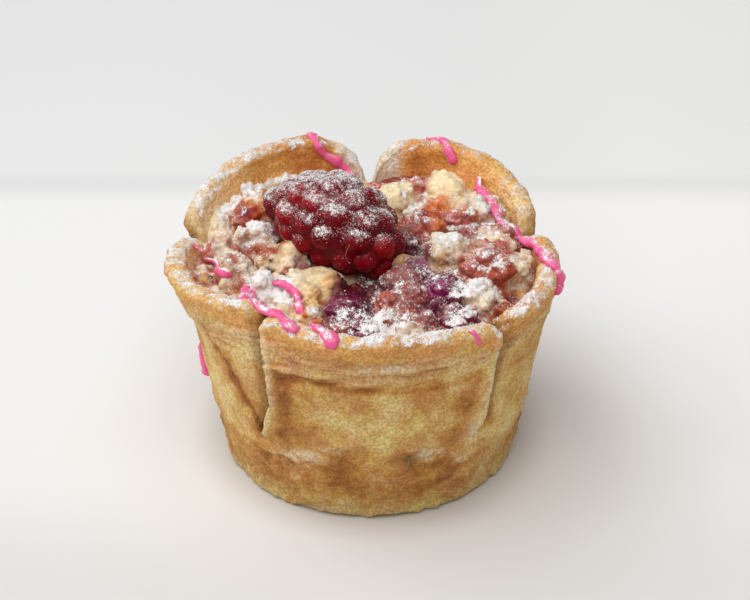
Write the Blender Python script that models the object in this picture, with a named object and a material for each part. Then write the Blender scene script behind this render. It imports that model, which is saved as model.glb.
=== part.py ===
"""Raspberry butter tart: a deep pastry cup with a five-lobed rim, a baked crumble filling and one raspberry.

Lengths are written in millimetres and made into metres when a mesh is built. +Z is up.
The origin is the middle of the flat foot, and azimuths are degrees from the front (-Y), turning towards +X.
"""

import math
import random
from collections import namedtuple

import bmesh
import bpy
import numpy as np
from mathutils import Vector, noise
from mathutils.bvhtree import BVHTree

MM = 0.001
GAP = 0.35  # left between two solids that touch

# The pastry cup, as its tin shaped it
FOOT_RADIUS = 26.3
FOOT_FILLET = 1.6
WALL_TAPER_DEG = 10.0
TIN_EDGE_Z = 33.0  # where the dough left the tin and began to lean out
TIN_EDGE_BELOW_RIM = 5.4
TIN_EDGE_CREASE = 0.45
TIN_EDGE_CREASE_WIDTH = 0.9
LEAN_BELOW_TIN_EDGE = 3.0
LEAN_CURVE = 1.15  # 1 would make the leaning part of the wall straight
RIM_ROUNDING = 1.7
RIM_RAGGEDNESS = 0.4
RIM_THICKNESS = 4.0
WALL_THICKNESS = 4.4
WALL_THINS_FROM_Z = 27.0
FLOOR_THICKNESS = 4.5
RIM_REFERENCE_Z = 41.5
WALL_SWELLS = ((0.5, 12.5), (0.25, 5.5))  # (depth, size) of the dough's unevenness
WALL_ROWS_Z = (4.6, 10.0, 16.0, 22.0, 27.0)
INNER_WALL_ROW_Z = 19.0
FILLING_ROW_BELOW_EDGE = 6.0

# Where two folds of dough meet: a step above 0 puts the next lobe outside, one below 0 the lobe before
Pleat = namedtuple("Pleat", "rim_deg foot_deg step")
PLEATS = (
    Pleat(-35.0, -38.0, 1.2),
    Pleat(42.5, 38.0, -1.2),
    Pleat(105.0, 102.0, -1.1),
    Pleat(181.0, 179.0, 1.1),
    Pleat(258.0, 255.0, 1.1),
)

# The top of the rim, lobe by lobe, from one pleat to the next
RimPoint = namedtuple("RimPoint", "deg radius z")
RIM = (
    (
        RimPoint(-35.0, 32.5, 43.6),
        RimPoint(-28.0, 33.4, 43.8),
        RimPoint(-20.0, 34.4, 43.4),
        RimPoint(-13.0, 34.9, 43.2),
        RimPoint(0.0, 35.1, 43.1),
        RimPoint(9.0, 35.1, 43.0),
        RimPoint(21.0, 35.0, 42.6),
        RimPoint(31.0, 34.7, 41.8),
        RimPoint(38.0, 34.2, 41.0),
        RimPoint(42.5, 33.1, 39.8),
    ),
    (
        RimPoint(42.5, 33.1, 39.8),
        RimPoint(47.0, 34.5, 40.5),
        RimPoint(55.0, 35.4, 41.2),
        RimPoint(65.0, 35.7, 41.9),
        RimPoint(75.0, 35.3, 42.5),
        RimPoint(85.0, 34.6, 42.6),
        RimPoint(93.0, 33.7, 42.1),
        RimPoint(100.0, 32.9, 40.5),
        RimPoint(105.0, 32.0, 38.3),
    ),
    (
        RimPoint(105.0, 32.0, 38.3),
        RimPoint(111.0, 33.8, 41.7),
        RimPoint(119.0, 34.8, 43.5),
        RimPoint(126.0, 35.0, 44.8),
        RimPoint(134.0, 35.6, 46.0),
        RimPoint(142.5, 35.8, 46.6),
        RimPoint(152.0, 35.8, 46.8),
        RimPoint(160.5, 35.4, 46.5),
        RimPoint(170.0, 34.3, 45.7),
        RimPoint(176.6, 33.4, 43.2),
        RimPoint(181.0, 30.2, 37.6),
    ),
    (
        RimPoint(181.0, 30.2, 37.6),
        RimPoint(184.0, 33.1, 42.6),
        RimPoint(187.5, 34.0, 44.4),
        RimPoint(193.4, 34.8, 45.9),
        RimPoint(198.5, 35.6, 47.2),
        RimPoint(206.5, 35.9, 47.4),
        RimPoint(218.0, 36.1, 47.4),
        RimPoint(229.5, 36.2, 47.0),
        RimPoint(239.0, 36.4, 45.8),
        RimPoint(246.0, 36.9, 44.4),
        RimPoint(252.0, 37.0, 42.6),
        RimPoint(258.0, 35.3, 39.2),
    ),
    (
        RimPoint(258.0, 35.3, 39.2),
        RimPoint(263.0, 36.4, 40.4),
        RimPoint(270.0, 37.1, 41.5),
        RimPoint(281.0, 37.6, 42.4),
        RimPoint(293.0, 37.5, 43.0),
        RimPoint(301.0, 36.8, 43.5),
        RimPoint(310.0, 35.3, 44.1),
        RimPoint(318.0, 33.7, 44.2),
        RimPoint(325.0, 32.5, 43.6),
    ),
)
PLEAT_CREASE_DEG = 0.5  # half the width of the step where two folds meet
FOLD_WIDTH = 4.5
TUCK_SHARE = 0.45
FOLD_ENDS_Z = (8.0, 20.0)
COLUMNS_PER_LOBE = 16

# The baked filling
FILL_EDGE_SHARE = 0.42  # of the rim's height, added to FILL_EDGE_BASE
FILL_EDGE_BASE = 20.4
FILL_BELOW_RIM = 3.0
FILL_CENTRE_Z = 39.4
FILL_DOME_CURVE = 2.5
FILL_RIPPLE = (0.5, 4.5)  # depth and size
FILL_RINGS = (0.94, 0.83, 0.68, 0.50, 0.30)
Swell = namedtuple("Swell", "x y width height")
SWELLS = (
    Swell(17.0, -2.0, 9.0, 2.2),
    Swell(11.0, 15.5, 8.0, 1.5),
    Swell(-16.0, -6.5, 8.0, 0.9),
)

# The lumps of crumble and fruit that show best, placed by hand
Lump = namedtuple("Lump", "x y size tall")
LUMPS = (
    Lump(14.0, -2.6, 3.7, 0.85),
    Lump(22.4, -6.6, 5.0, 0.75),
    Lump(19.2, -14.2, 3.4, 0.75),
    Lump(6.2, -9.6, 4.0, 0.65),
    Lump(6.0, -16.2, 4.4, 0.55),
    Lump(13.0, -12.6, 4.2, 0.55),
    Lump(-9.6, -12.4, 5.6, 0.45),
    Lump(-15.6, -4.0, 4.6, 0.55),
    Lump(-20.2, 4.8, 4.0, 0.75),
    Lump(-21.6, 13.0, 4.2, 0.75),
    Lump(-24.2, -6.4, 3.7, 0.75),
    Lump(-19.0, -12.8, 4.2, 0.65),
    Lump(-27.0, 1.0, 3.6, 0.70),
    Lump(14.8, 22.4, 4.2, 0.85),
    Lump(5.0, 17.8, 3.6, 0.90),
    Lump(17.6, 10.6, 4.7, 0.70),
    Lump(10.2, 7.8, 4.2, 0.65),
    Lump(23.2, 2.6, 4.2, 0.70),
    Lump(-3.2, 21.4, 3.8, 0.70),
    Lump(-11.6, 21.6, 4.0, 0.65),
    Lump(24.6, 15.2, 4.2, 0.65),
    Lump(-4.2, -18.4, 4.4, 0.50),
    Lump(8.0, -22.4, 3.8, 0.55),
    Lump(-0.4, -24.0, 3.4, 0.55),
    Lump(-11.0, -21.2, 3.2, 0.55),
    Lump(15.6, -20.6, 3.3, 0.60),
    Lump(22.6, -17.4, 3.0, 0.65),
)
LUMP_UNEVENNESS = 0.28
LUMP_FROM_EDGE = 1.2  # in lump sizes
LUMP_RISE = 0.25
SMALL_LUMPS = 20
SMALL_LUMP_SIZES = (2.0, 3.0)
SMALL_LUMP_HEIGHTS = (0.6, 0.85)
SMALL_LUMP_REACH = 28.0
LUMP_SPACING = 0.65
LUMP_FROM_BERRY_AXIS = 6.0
LUMP_SEED = 11
FILLING_DETAIL = 0.7  # share of the triangles kept after the lumps are joined

# The raspberry lies on its side, with its narrow end to the back left
BERRY_NARROW_END = (-20.4, 9.6, 46.2)
BERRY_WIDE_END = (5.6, -8.0, 43.2)
BERRY_ARCH = 2.3
BERRY_OUTLINE = (
    (0.0, 0.0),
    (0.03, 1.7),
    (0.07, 2.7),
    (0.16, 4.5),
    (0.29, 7.2),
    (0.42, 8.8),
    (0.55, 9.3),
    (0.67, 9.0),
    (0.79, 8.0),
    (0.88, 6.4),
    (0.95, 4.4),
    (0.98, 2.8),
    (1.0, 0.0),
)
DRUPELET_RADIUS = 2.75
DRUPELETS = 52
DRUPELET_CHOICES = 600  # places tried for the drupelets that don't show
SEEN_DRUPELETS = (  # (share of the length, degrees round the berry) of the ones on the side that faces up
    (0.10, 33),
    (0.29, 16),
    (0.31, 96),
    (0.33, 58),
    (0.48, 51),
    (0.48, 18),
    (0.51, 82),
    (0.66, 48),
    (0.62, 8),
    (0.70, 80),
    (0.83, 66),
    (0.72, 108),
    (0.84, 32),
    (0.88, 98),
    (0.96, 52),
    (0.90, -8),
    (0.76, -22),
    (0.47, -20),
)
BERRY_DETAIL = 0.75
BERRY_CORE_INSET = 1.5
BERRY_ROOM = 0.5  # how far the hollow under the berry stands off it

# The pink icing that was drizzled over the tart, as routes on its surface
ICING_RADIUS = 0.7
ICING_SINK = 0.2
RIM_ICING = (
    ((-22.0, -18.4, 44.0), (-19.4, -23.0, 44.0), (-15.8, -26.6, 43.4), (-12.4, -30.0, 42.0)),
    ((-9.4, -28.0, 43.0), (-8.0, -31.6, 43.0), (-6.8, -34.6, 41.0), (-6.0, -35.2, 38.6)),
    ((-13.0, 37.0, 45.0), (-10.8, 34.2, 48.0), (-8.8, 31.4, 45.0), (-7.4, 30.4, 42.4)),
    ((11.4, 37.0, 45.5), (13.2, 33.8, 48.0), (15.4, 30.6, 45.0), (17.0, 29.6, 43.0)),
    ((31.8, -4.4, 42.6), (33.6, -7.4, 43.2), (35.4, -9.2, 41.0), (35.0, -9.6, 38.4)),
    ((-31.6, -4.2, 21.5), (-31.0, -4.4, 19.0), (-30.6, -4.6, 16.8)),
)
TOP_ICING = (
    ((-28.0, -3.4), (-26.2, -6.8), (-23.0, -9.0)),
    ((-17.0, -11.6), (-14.2, -12.8), (-12.6, -16.0), (-12.2, -19.6)),
    ((20.2, 21.6), (22.2, 17.0), (24.2, 11.4), (25.6, 5.8)),
)


def radians(degrees):
    return degrees * math.pi / 180.0


def smooth_step(low, high, value):
    share = min(1.0, max(0.0, (value - low) / (high - low)))
    return share * share * (3.0 - 2.0 * share)


def mix(a, b, share):
    return a + (b - a) * share


def at(azimuth, radius, z):
    return Vector((radius * math.sin(azimuth), -radius * math.cos(azimuth), z))


# Forms of the pastry


def pleat_azimuth(index, z):
    """Azimuth of a pleat at height z. Pleat 5 is pleat 0, one turn on."""
    turn, which = divmod(index, len(PLEATS))
    pleat = PLEATS[which]
    return radians(mix(pleat.foot_deg, pleat.rim_deg, z / RIM_REFERENCE_Z) + 360.0 * turn)


def column_azimuth(lobe, u, z):
    """Azimuth of the column at share u of the way across a lobe."""
    crease = radians(PLEAT_CREASE_DEG)
    return mix(pleat_azimuth(lobe, z) + crease, pleat_azimuth(lobe + 1, z) - crease, u)


def crest(lobe, u):
    """(radius, z) of the top of the rim, on a smooth curve through the lobe's rim points."""
    points = RIM[lobe]
    deg = mix(points[0].deg, points[-1].deg, u)
    k = max(1, sum(point.deg <= deg for point in points))
    k = min(k, len(points) - 1)
    before, a, b, after = points[max(k - 2, 0)], points[k - 1], points[k], points[min(k + 1, len(points) - 1)]
    t = (deg - a.deg) / (b.deg - a.deg)
    values = []
    for axis in (1, 2):
        start = (b[axis] - before[axis]) / (b.deg - before.deg) * (b.deg - a.deg)
        end = (after[axis] - a[axis]) / (after.deg - a.deg) * (b.deg - a.deg)
        rise = t * t * (3 - 2 * t)
        values.append(mix(a[axis], b[axis], rise) + start * t * (1 - t) ** 2 - end * t * t * (1 - t))
    radius, z = values
    spot = at(radians(deg), 6.0, 3.0)
    ragged = noise.noise(spot) + 0.6 * noise.noise(spot * 2.3)
    return radius, z + RIM_RAGGEDNESS * ragged


def tin_radius(z):
    return FOOT_RADIUS + FOOT_FILLET + (z - FOOT_FILLET) * math.tan(radians(WALL_TAPER_DEG))


def tin_edge_z(lobe, u):
    """Height of the crease that the tin's edge left, lower where the rim itself is low."""
    return min(TIN_EDGE_Z, crest(lobe, u)[1] - TIN_EDGE_BELOW_RIM)


def plain_radius(lobe, u, z):
    """Outer radius of the wall before its folds: the tin's cone, leaning to the crest above the tin."""
    crest_radius, crest_z = crest(lobe, u)
    lean_from = tin_edge_z(lobe, u) - LEAN_BELOW_TIN_EDGE
    share = max(0.0, (z - lean_from) / (crest_z - RIM_ROUNDING - lean_from))
    return tin_radius(z) + (crest_radius - tin_radius(crest_z - RIM_ROUNDING)) * min(1.0, share) ** LEAN_CURVE


def fold_relief(lobe, u, z, radius):
    """How far the wall stands proud, or is tucked in, beside the two pleats of its lobe."""
    azimuth = column_azimuth(lobe, u, z)
    after = PLEATS[(lobe + 1) % len(PLEATS)]
    rise = 0.0
    for step, pleat in ((PLEATS[lobe].step, lobe), (-after.step, lobe + 1)):
        distance = abs(azimuth - pleat_azimuth(pleat, z)) * radius
        height = step if step > 0 else step * TUCK_SHARE
        rise += height * math.exp(-distance / FOLD_WIDTH)
    return rise * smooth_step(*FOLD_ENDS_Z, z)


def outer_radius(lobe, u, z):
    radius = plain_radius(lobe, u, z)
    point = at(column_azimuth(lobe, u, z), radius, z)
    uneven = sum(depth * noise.noise(point / size) for depth, size in WALL_SWELLS)
    crease = -TIN_EDGE_CREASE * math.exp(-(((z - tin_edge_z(lobe, u)) / TIN_EDGE_CREASE_WIDTH) ** 2))
    return radius + fold_relief(lobe, u, z, radius) + (uneven + crease) * smooth_step(0.0, WALL_ROWS_Z[0], z)


def inner_radius(lobe, u, z):
    crest_radius, crest_z = crest(lobe, u)
    top_z = crest_z - RIM_ROUNDING
    thickness = mix(WALL_THICKNESS, RIM_THICKNESS, smooth_step(WALL_THINS_FROM_Z, top_z, z))
    return plain_radius(lobe, u, min(z, top_z)) - thickness


def fill_edge_z(lobe, u):
    """Height at which the filling meets the pastry, always a little below the rim."""
    crest_z = crest(lobe, u)[1]
    return min(FILL_EDGE_BASE + FILL_EDGE_SHARE * crest_z, crest_z - FILL_BELOW_RIM)


def crust_column(lobe, u):
    """Points of the pastry from the edge of its foot, up the outside, over the rim and down the inside."""
    top_z = crest(lobe, u)[1] - RIM_ROUNDING
    rows = [(FOOT_RADIUS, 0.0)]
    for degrees in (35.0, 68.0):
        turn = radians(degrees)
        rows.append((FOOT_RADIUS + FOOT_FILLET * math.sin(turn), FOOT_FILLET * (1 - math.cos(turn))))
    edge = tin_edge_z(lobe, u)
    wall = [*WALL_ROWS_Z, edge - 1.3, edge, edge + 1.3, top_z]
    rows += [(outer_radius(lobe, u, z), z) for z in wall]
    outside, inside = rows[-1][0], inner_radius(lobe, u, top_z)
    for degrees in (40.0, 75.0, 105.0, 140.0):
        turn = radians(degrees)
        rows.append((mix(outside, inside, (1 - math.cos(turn)) / 2), top_z + RIM_ROUNDING * math.sin(turn)))
    edge_z = fill_edge_z(lobe, u)
    inner_wall = (top_z, edge_z, edge_z - FILLING_ROW_BELOW_EDGE, INNER_WALL_ROW_Z, FLOOR_THICKNESS)
    rows += [(inner_radius(lobe, u, z), z) for z in inner_wall]
    return [at(column_azimuth(lobe, u, z), radius, z) for radius, z in rows]


def columns():
    """(lobe, u) of every column round the cup, closer together near the pleats."""
    for lobe in range(len(RIM)):
        for k in range(COLUMNS_PER_LOBE):
            share = k / (COLUMNS_PER_LOBE - 1)
            yield lobe, mix(share, (1 - math.cos(math.pi * share)) / 2, 0.7)


# Meshes


def new_object(name, mesh):
    obj = bpy.data.objects.new(name, mesh)
    bpy.context.scene.collection.objects.link(obj)
    return obj


def lofted_mesh(name, sections, first_pole, last_pole):
    """A closed mesh over columns of points, with a pole to close each end."""
    bm = bmesh.new()
    verts = [[bm.verts.new(p * MM) for p in section] for section in sections]
    start, end = bm.verts.new(first_pole * MM), bm.verts.new(last_pole * MM)
    for here, there in zip(verts, verts[1:] + verts[:1]):
        bm.faces.new((start, there[0], here[0]))
        bm.faces.new((end, here[-1], there[-1]))
        for row in range(len(here) - 1):
            bm.faces.new((here[row], there[row], there[row + 1], here[row + 1]))
    bmesh.ops.triangulate(bm, faces=bm.faces[:])
    bmesh.ops.recalc_face_normals(bm, faces=bm.faces[:])
    mesh = bpy.data.meshes.new(name)
    bm.to_mesh(mesh)
    bm.free()
    return mesh


def ball_mesh(name, subdivisions, shape):
    """An icosphere whose unit directions are turned into points by shape()."""
    bm = bmesh.new()
    bmesh.ops.create_icosphere(bm, subdivisions=subdivisions, radius=1.0)
    for vert in bm.verts:
        vert.co = shape(vert.co.normalized()) * MM
    mesh = bpy.data.meshes.new(name)
    bm.to_mesh(mesh)
    bm.free()
    return mesh


def apply_modifiers(obj):
    bpy.context.view_layer.update()
    evaluated = obj.evaluated_get(bpy.context.evaluated_depsgraph_get())
    mesh = bpy.data.meshes.new_from_object(evaluated)
    obj.modifiers.clear()
    obj.data = mesh


def join_solids(base, pieces):
    """Unites the pieces with the base object, then removes them."""
    group = bpy.data.collections.new(base.name + "_pieces")
    bpy.context.scene.collection.children.link(group)
    for piece in pieces:
        bpy.context.scene.collection.objects.unlink(piece)
        group.objects.link(piece)
    union = base.modifiers.new("union", "BOOLEAN")
    union.operation = "UNION"
    union.solver = "EXACT"
    union.operand_type = "COLLECTION"
    union.collection = group
    apply_modifiers(base)
    for piece in pieces:
        bpy.data.objects.remove(piece)
    bpy.data.collections.remove(group)


def cut_solid(base, cutter):
    cut = base.modifiers.new("cut", "BOOLEAN")
    cut.operation = "DIFFERENCE"
    cut.solver = "EXACT"
    cut.object = cutter
    apply_modifiers(base)
    bpy.data.objects.remove(cutter)


def thin_out(obj, share):
    """Merges the smallest triangles until this share of them is left."""
    decimate = obj.modifiers.new("thin_out", "DECIMATE")
    decimate.ratio = share
    apply_modifiers(obj)


def surface_tree(*objects):
    """A search tree over the faces of several objects, in millimetres."""
    points, faces = [], []
    for obj in objects:
        base = len(points)
        points += [v.co / MM for v in obj.data.vertices]
        faces += [[base + i for i in polygon.vertices] for polygon in obj.data.polygons]
    return BVHTree.FromPolygons(points, faces)


def smooth_route(route, spacing):
    """Points along a Catmull-Rom curve through the route, about a spacing apart."""
    route = [Vector(p) for p in route]
    ends = [2 * route[0] - route[1], *route, 2 * route[-1] - route[-2]]
    line = []
    for a, b, c, d in zip(ends, ends[1:], ends[2:], ends[3:]):
        steps = max(1, round((c - b).length / spacing))
        for k in range(steps):
            t = k / steps
            bend = (c - a) * t + (2 * a - 5 * b + 4 * c - d) * t**2 + (3 * b - a - 3 * c + d) * t**3
            line.append(b + 0.5 * bend)
    return [*line, route[-1]]


def strand(name, line):
    """A closed tube of icing along a line of points, with six sides and pointed ends."""
    sides = 6
    sections = []
    side = None
    for k, point in enumerate(line):
        ahead = (line[min(k + 1, len(line) - 1)] - line[max(k - 1, 0)]).normalized()
        side = ahead.orthogonal() if side is None else side - ahead * side.dot(ahead)
        side.normalize()
        other = ahead.cross(side)
        share = k / (len(line) - 1)
        swell = ICING_RADIUS * (1.0 + 0.3 * noise.noise(point / 2.5) + 0.35 * smooth_step(0.7, 1.0, share))
        turns = [2 * math.pi * j / sides for j in range(sides)]
        sections.append([point + (side * math.cos(t) + other * math.sin(t)) * swell for t in turns])
    first = line[0] + (line[0] - line[1]).normalized() * ICING_RADIUS
    last = line[-1] + (line[-1] - line[-2]).normalized() * ICING_RADIUS
    return new_object(name, lofted_mesh(name, list(zip(*sections)), first, last))


def finish(obj, colour, roughness):
    material = bpy.data.materials.new(obj.name)
    material.use_nodes = True
    shader = material.node_tree.nodes["Principled BSDF"]
    shader.inputs["Base Color"].default_value = (*colour, 1.0)
    shader.inputs["Roughness"].default_value = roughness
    obj.data.materials.clear()
    obj.data.materials.append(material)
    obj.data.shade_smooth()
    obj.data.set_sharp_from_angle(angle=radians(50.0))


# The pieces


def make_crust():
    sections = [crust_column(lobe, u) for lobe, u in columns()]
    foot, floor = Vector((0, 0, 0)), Vector((0, 0, FLOOR_THICKNESS))
    crust = new_object("crust", lofted_mesh("crust", sections, foot, floor))
    tree = surface_tree(crust)
    strands = []
    for k, route in enumerate(RIM_ICING):
        line = []
        for point in smooth_route(route, 2.0):
            near, normal, _, _ = tree.find_nearest(point)
            line.append(near + normal * (ICING_RADIUS - ICING_SINK))
        strands.append(strand(f"rim_icing_{k}", line))
    join_solids(crust, strands)
    finish(crust, (0.60, 0.36, 0.13), 0.6)
    return crust


def fill_height(x, y, edge_share, edge_z):
    """Height of the filling's own surface, before lumps: a low dome with a few broad swells."""
    height = mix(FILL_CENTRE_Z, edge_z, edge_share**FILL_DOME_CURVE)
    inside = 1.0 - smooth_step(0.75, 1.0, edge_share)
    for swell in SWELLS:
        distance = ((x - swell.x) ** 2 + (y - swell.y) ** 2) / swell.width**2
        height += swell.height * math.exp(-distance) * inside
    depth, size = FILL_RIPPLE
    return height + depth * noise.noise(Vector((x, y, 0.0)) / size) * inside


def fill_edges():
    """The point of every column where the filling meets the pastry."""
    edges = []
    for lobe, u in columns():
        z = fill_edge_z(lobe, u)
        edges.append(at(column_azimuth(lobe, u, z), inner_radius(lobe, u, z) - GAP, z))
    return edges


def fill_column(lobe, u, edge):
    """Points of the filling from the edge of its floor, up its side and in towards its middle."""
    points = []
    for z in (FLOOR_THICKNESS + GAP, INNER_WALL_ROW_Z, edge.z - FILLING_ROW_BELOW_EDGE):
        points.append(at(column_azimuth(lobe, u, z), inner_radius(lobe, u, z) - GAP, z))
    points.append(edge)
    for share in FILL_RINGS:
        x, y = edge.x * share, edge.y * share
        points.append(Vector((x, y, fill_height(x, y, share, edge.z))))
    return points


def lump_mesh(name, spec, edges, seed):
    """One rounded, uneven lump of crumble or fruit, sunk into the filling and clear of the pastry."""
    spot = Vector((spec.x, spec.y))
    edge = max(edges, key=lambda e: e.to_2d().normalized().dot(spot.normalized()))
    most = edge.to_2d().length - LUMP_FROM_EDGE * spec.size
    spot *= min(1.0, most / spot.length)
    z = fill_height(spot.x, spot.y, spot.length / edge.to_2d().length, edge.z)
    middle = Vector((spot.x, spot.y, z + spec.size * spec.tall * LUMP_RISE))

    def shape(direction):
        swell = 1.0 + LUMP_UNEVENNESS * noise.noise(direction * 1.7 + Vector((seed, 0, 0)))
        return middle + Vector((direction.x, direction.y, direction.z * spec.tall)) * spec.size * swell

    return ball_mesh(name, 2, shape)


def all_lumps():
    """The lumps placed by hand, then small ones scattered between them."""
    rng = random.Random(LUMP_SEED)
    lumps = list(LUMPS)
    while len(lumps) < len(LUMPS) + SMALL_LUMPS:
        angle, reach = rng.uniform(0, 2 * math.pi), SMALL_LUMP_REACH * math.sqrt(rng.random())
        spot = at(angle, reach, 0.0)
        size = rng.uniform(*SMALL_LUMP_SIZES)
        clear = all(math.hypot(spot.x - o.x, spot.y - o.y) > LUMP_SPACING * (size + o.size) for o in lumps)
        by_berry = any(math.hypot(spot.x - p.x, spot.y - p.y) < LUMP_FROM_BERRY_AXIS for p in berry_axis())
        if clear and not by_berry:
            lumps.append(Lump(spot.x, spot.y, size, rng.uniform(*SMALL_LUMP_HEIGHTS)))
    return lumps


def make_filling():
    edges = fill_edges()
    sections = [fill_column(lobe, u, edge) for (lobe, u), edge in zip(columns(), edges)]
    floor, middle = Vector((0, 0, FLOOR_THICKNESS + GAP)), Vector((0, 0, fill_height(0, 0, 0.0, 0.0)))
    filling = new_object("filling", lofted_mesh("filling", sections, floor, middle))
    pieces = []
    for k, spec in enumerate(all_lumps()):
        name = f"lump_{k}"
        pieces.append(new_object(name, lump_mesh(name, spec, edges, 3.7 * k)))
    tree = surface_tree(filling, *pieces)
    for k, route in enumerate(TOP_ICING):
        line = []
        for point in smooth_route([Vector((x, y, 80.0)) for x, y in route], 1.6):
            hit = tree.ray_cast(point, Vector((0, 0, -1)))[0]
            line.append(hit + Vector((0, 0, ICING_RADIUS - ICING_SINK)))
        pieces.append(strand(f"top_icing_{k}", line))
    join_solids(filling, pieces)
    thin_out(filling, FILLING_DETAIL)
    cut_solid(filling, berry_room())
    finish(filling, (0.42, 0.14, 0.09), 0.4)
    return filling


# The raspberry


def berry_directions():
    """(along, across, upward) unit directions of the berry."""
    along = (Vector(BERRY_WIDE_END) - Vector(BERRY_NARROW_END)).normalized()
    across = along.cross(Vector((0, 0, 1))).normalized()
    return along, across, across.cross(along)


def berry_middle(share):
    """The point of the berry's arched axis at a share of its length."""
    start, end = Vector(BERRY_NARROW_END), Vector(BERRY_WIDE_END)
    return start.lerp(end, share) + Vector((0, 0, BERRY_ARCH * 4 * share * (1 - share)))


def berry_axis():
    return [berry_middle(k / 10) for k in range(11)]


def berry_point(share, turn, out=0.0):
    """A point of the berry's skin, or off it by a distance, at a turn round its axis."""
    shares, radii = zip(*BERRY_OUTLINE)
    length = (Vector(BERRY_WIDE_END) - Vector(BERRY_NARROW_END)).length
    step = 0.01
    low, high = max(0.0, share - step), min(1.0, share + step)
    run, rise = (high - low) * length, np.interp(high, shares, radii) - np.interp(low, shares, radii)
    slope = math.hypot(run, rise)
    along, across, upward = berry_directions()
    outward = across * math.cos(turn) + upward * math.sin(turn)
    skin = berry_middle(share) + outward * float(np.interp(share, shares, radii))
    return skin + (outward * run - along * rise) * (out / slope)


def berry_shape(out):
    """Turns a unit direction into a point of the berry, grown or shrunk by a distance."""

    def shape(direction):
        return berry_point((1.0 + direction.x) / 2.0, math.atan2(direction.z, -direction.y), out)

    return shape


def berry_room():
    """The hollow that the berry has pressed into the filling."""
    return new_object("berry_room", ball_mesh("berry_room", 3, berry_shape(BERRY_ROOM)))


def drupelet_places():
    """(share, turn) of every drupelet: the ones that show, then more where there is most room."""
    golden = math.pi * (3.0 - math.sqrt(5.0))
    places = [(share, radians(turn)) for share, turn in SEEN_DRUPELETS]
    points = [berry_point(share, turn) for share, turn in places]
    spares = [(mix(0.04, 0.97, k / DRUPELET_CHOICES), golden * k) for k in range(DRUPELET_CHOICES)]
    spare_points = [berry_point(share, turn) for share, turn in spares]
    rooms = [min((p - q).length for q in points) for p in spare_points]
    while len(places) < DRUPELETS:
        best = rooms.index(max(rooms))
        places.append(spares[best])
        rooms = [min(room, (p - spare_points[best]).length) for room, p in zip(rooms, spare_points)]
    return places


def make_raspberry():
    berry = new_object("raspberry", ball_mesh("raspberry", 2, berry_shape(-BERRY_CORE_INSET)))
    drupelets = []
    for k, (share, turn) in enumerate(drupelet_places()):
        skin = berry_point(share, turn)
        radius = min(DRUPELET_RADIUS * (1.0 + 0.08 * math.sin(7.0 * k)), (skin - berry_middle(share)).length)
        heart = berry_point(share, turn, out=-radius)
        name = f"drupelet_{k}"
        drupelets.append(new_object(name, ball_mesh(name, 2, lambda d: heart + d * radius)))
    join_solids(berry, drupelets)
    thin_out(berry, BERRY_DETAIL)
    finish(berry, (0.33, 0.01, 0.02), 0.3)
    return berry


def main():
    for obj in list(bpy.data.objects):
        bpy.data.objects.remove(obj)
    make_crust()
    make_filling()
    make_raspberry()


main()
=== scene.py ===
"""The looks of a raspberry butter tart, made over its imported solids.

Lengths are in millimetres until they go into a mesh. +Z is up, the front faces -Y, and azimuths are degrees
from the front, turning towards +X.
"""

import math
import random
from collections import namedtuple

import bmesh
import bpy
import numpy as np
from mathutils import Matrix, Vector, noise
from mathutils.bvhtree import BVHTree

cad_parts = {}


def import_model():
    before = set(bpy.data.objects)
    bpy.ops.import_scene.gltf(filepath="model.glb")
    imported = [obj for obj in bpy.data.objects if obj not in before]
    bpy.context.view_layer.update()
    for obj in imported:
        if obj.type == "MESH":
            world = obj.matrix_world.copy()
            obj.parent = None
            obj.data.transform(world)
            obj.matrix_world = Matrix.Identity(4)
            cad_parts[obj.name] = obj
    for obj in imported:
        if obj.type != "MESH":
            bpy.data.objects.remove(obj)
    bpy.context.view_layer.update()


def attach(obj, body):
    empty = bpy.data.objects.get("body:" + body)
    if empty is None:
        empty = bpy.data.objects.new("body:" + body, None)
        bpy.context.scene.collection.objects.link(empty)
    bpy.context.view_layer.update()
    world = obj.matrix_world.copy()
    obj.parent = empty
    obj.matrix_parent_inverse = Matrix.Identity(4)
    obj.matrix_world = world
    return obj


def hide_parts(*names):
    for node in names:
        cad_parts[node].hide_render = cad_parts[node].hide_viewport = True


MM = 0.001

# The pastry cup, as the solids have it
FOOT_RADIUS = 26.3
FOOT_FILLET = 1.6
WALL_TAPER_DEG = 10.0
TIN_EDGE_Z = 33.0
TIN_EDGE_BELOW_RIM = 5.4
TIN_EDGE_CREASE = 0.45
TIN_EDGE_CREASE_WIDTH = 0.9
# (azimuth, share) of the crease at the tin's edge that still shows
TIN_EDGE_SHARES = (
    (-120.0, 0.8), (-100.0, 0.1), (-38.0, 0.1), (-30.0, 0.5), (34.0, 0.5), (40.0, 0.1), (95.0, 0.1),
    (110.0, 0.8),
)
LEAN_BELOW_TIN_EDGE = 3.0
LEAN_CURVE = 1.15
RIM_ROUNDING = 1.7
RIM_RAGGEDNESS = 0.4
RIM_THICKNESS = 4.0
WALL_THICKNESS = 4.4
WALL_THINS_FROM_Z = 27.0
FLOOR_THICKNESS = 4.5
INNER_WALL_ROW_Z = 19.0
RIM_REFERENCE_Z = 41.5
WALL_SWELLS = ((0.5, 12.5), (0.25, 5.5))
EVEN_BELOW_Z = 4.6
MEAN_RADIUS = 31.0
CREASED_RADIUS = 33.0

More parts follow.
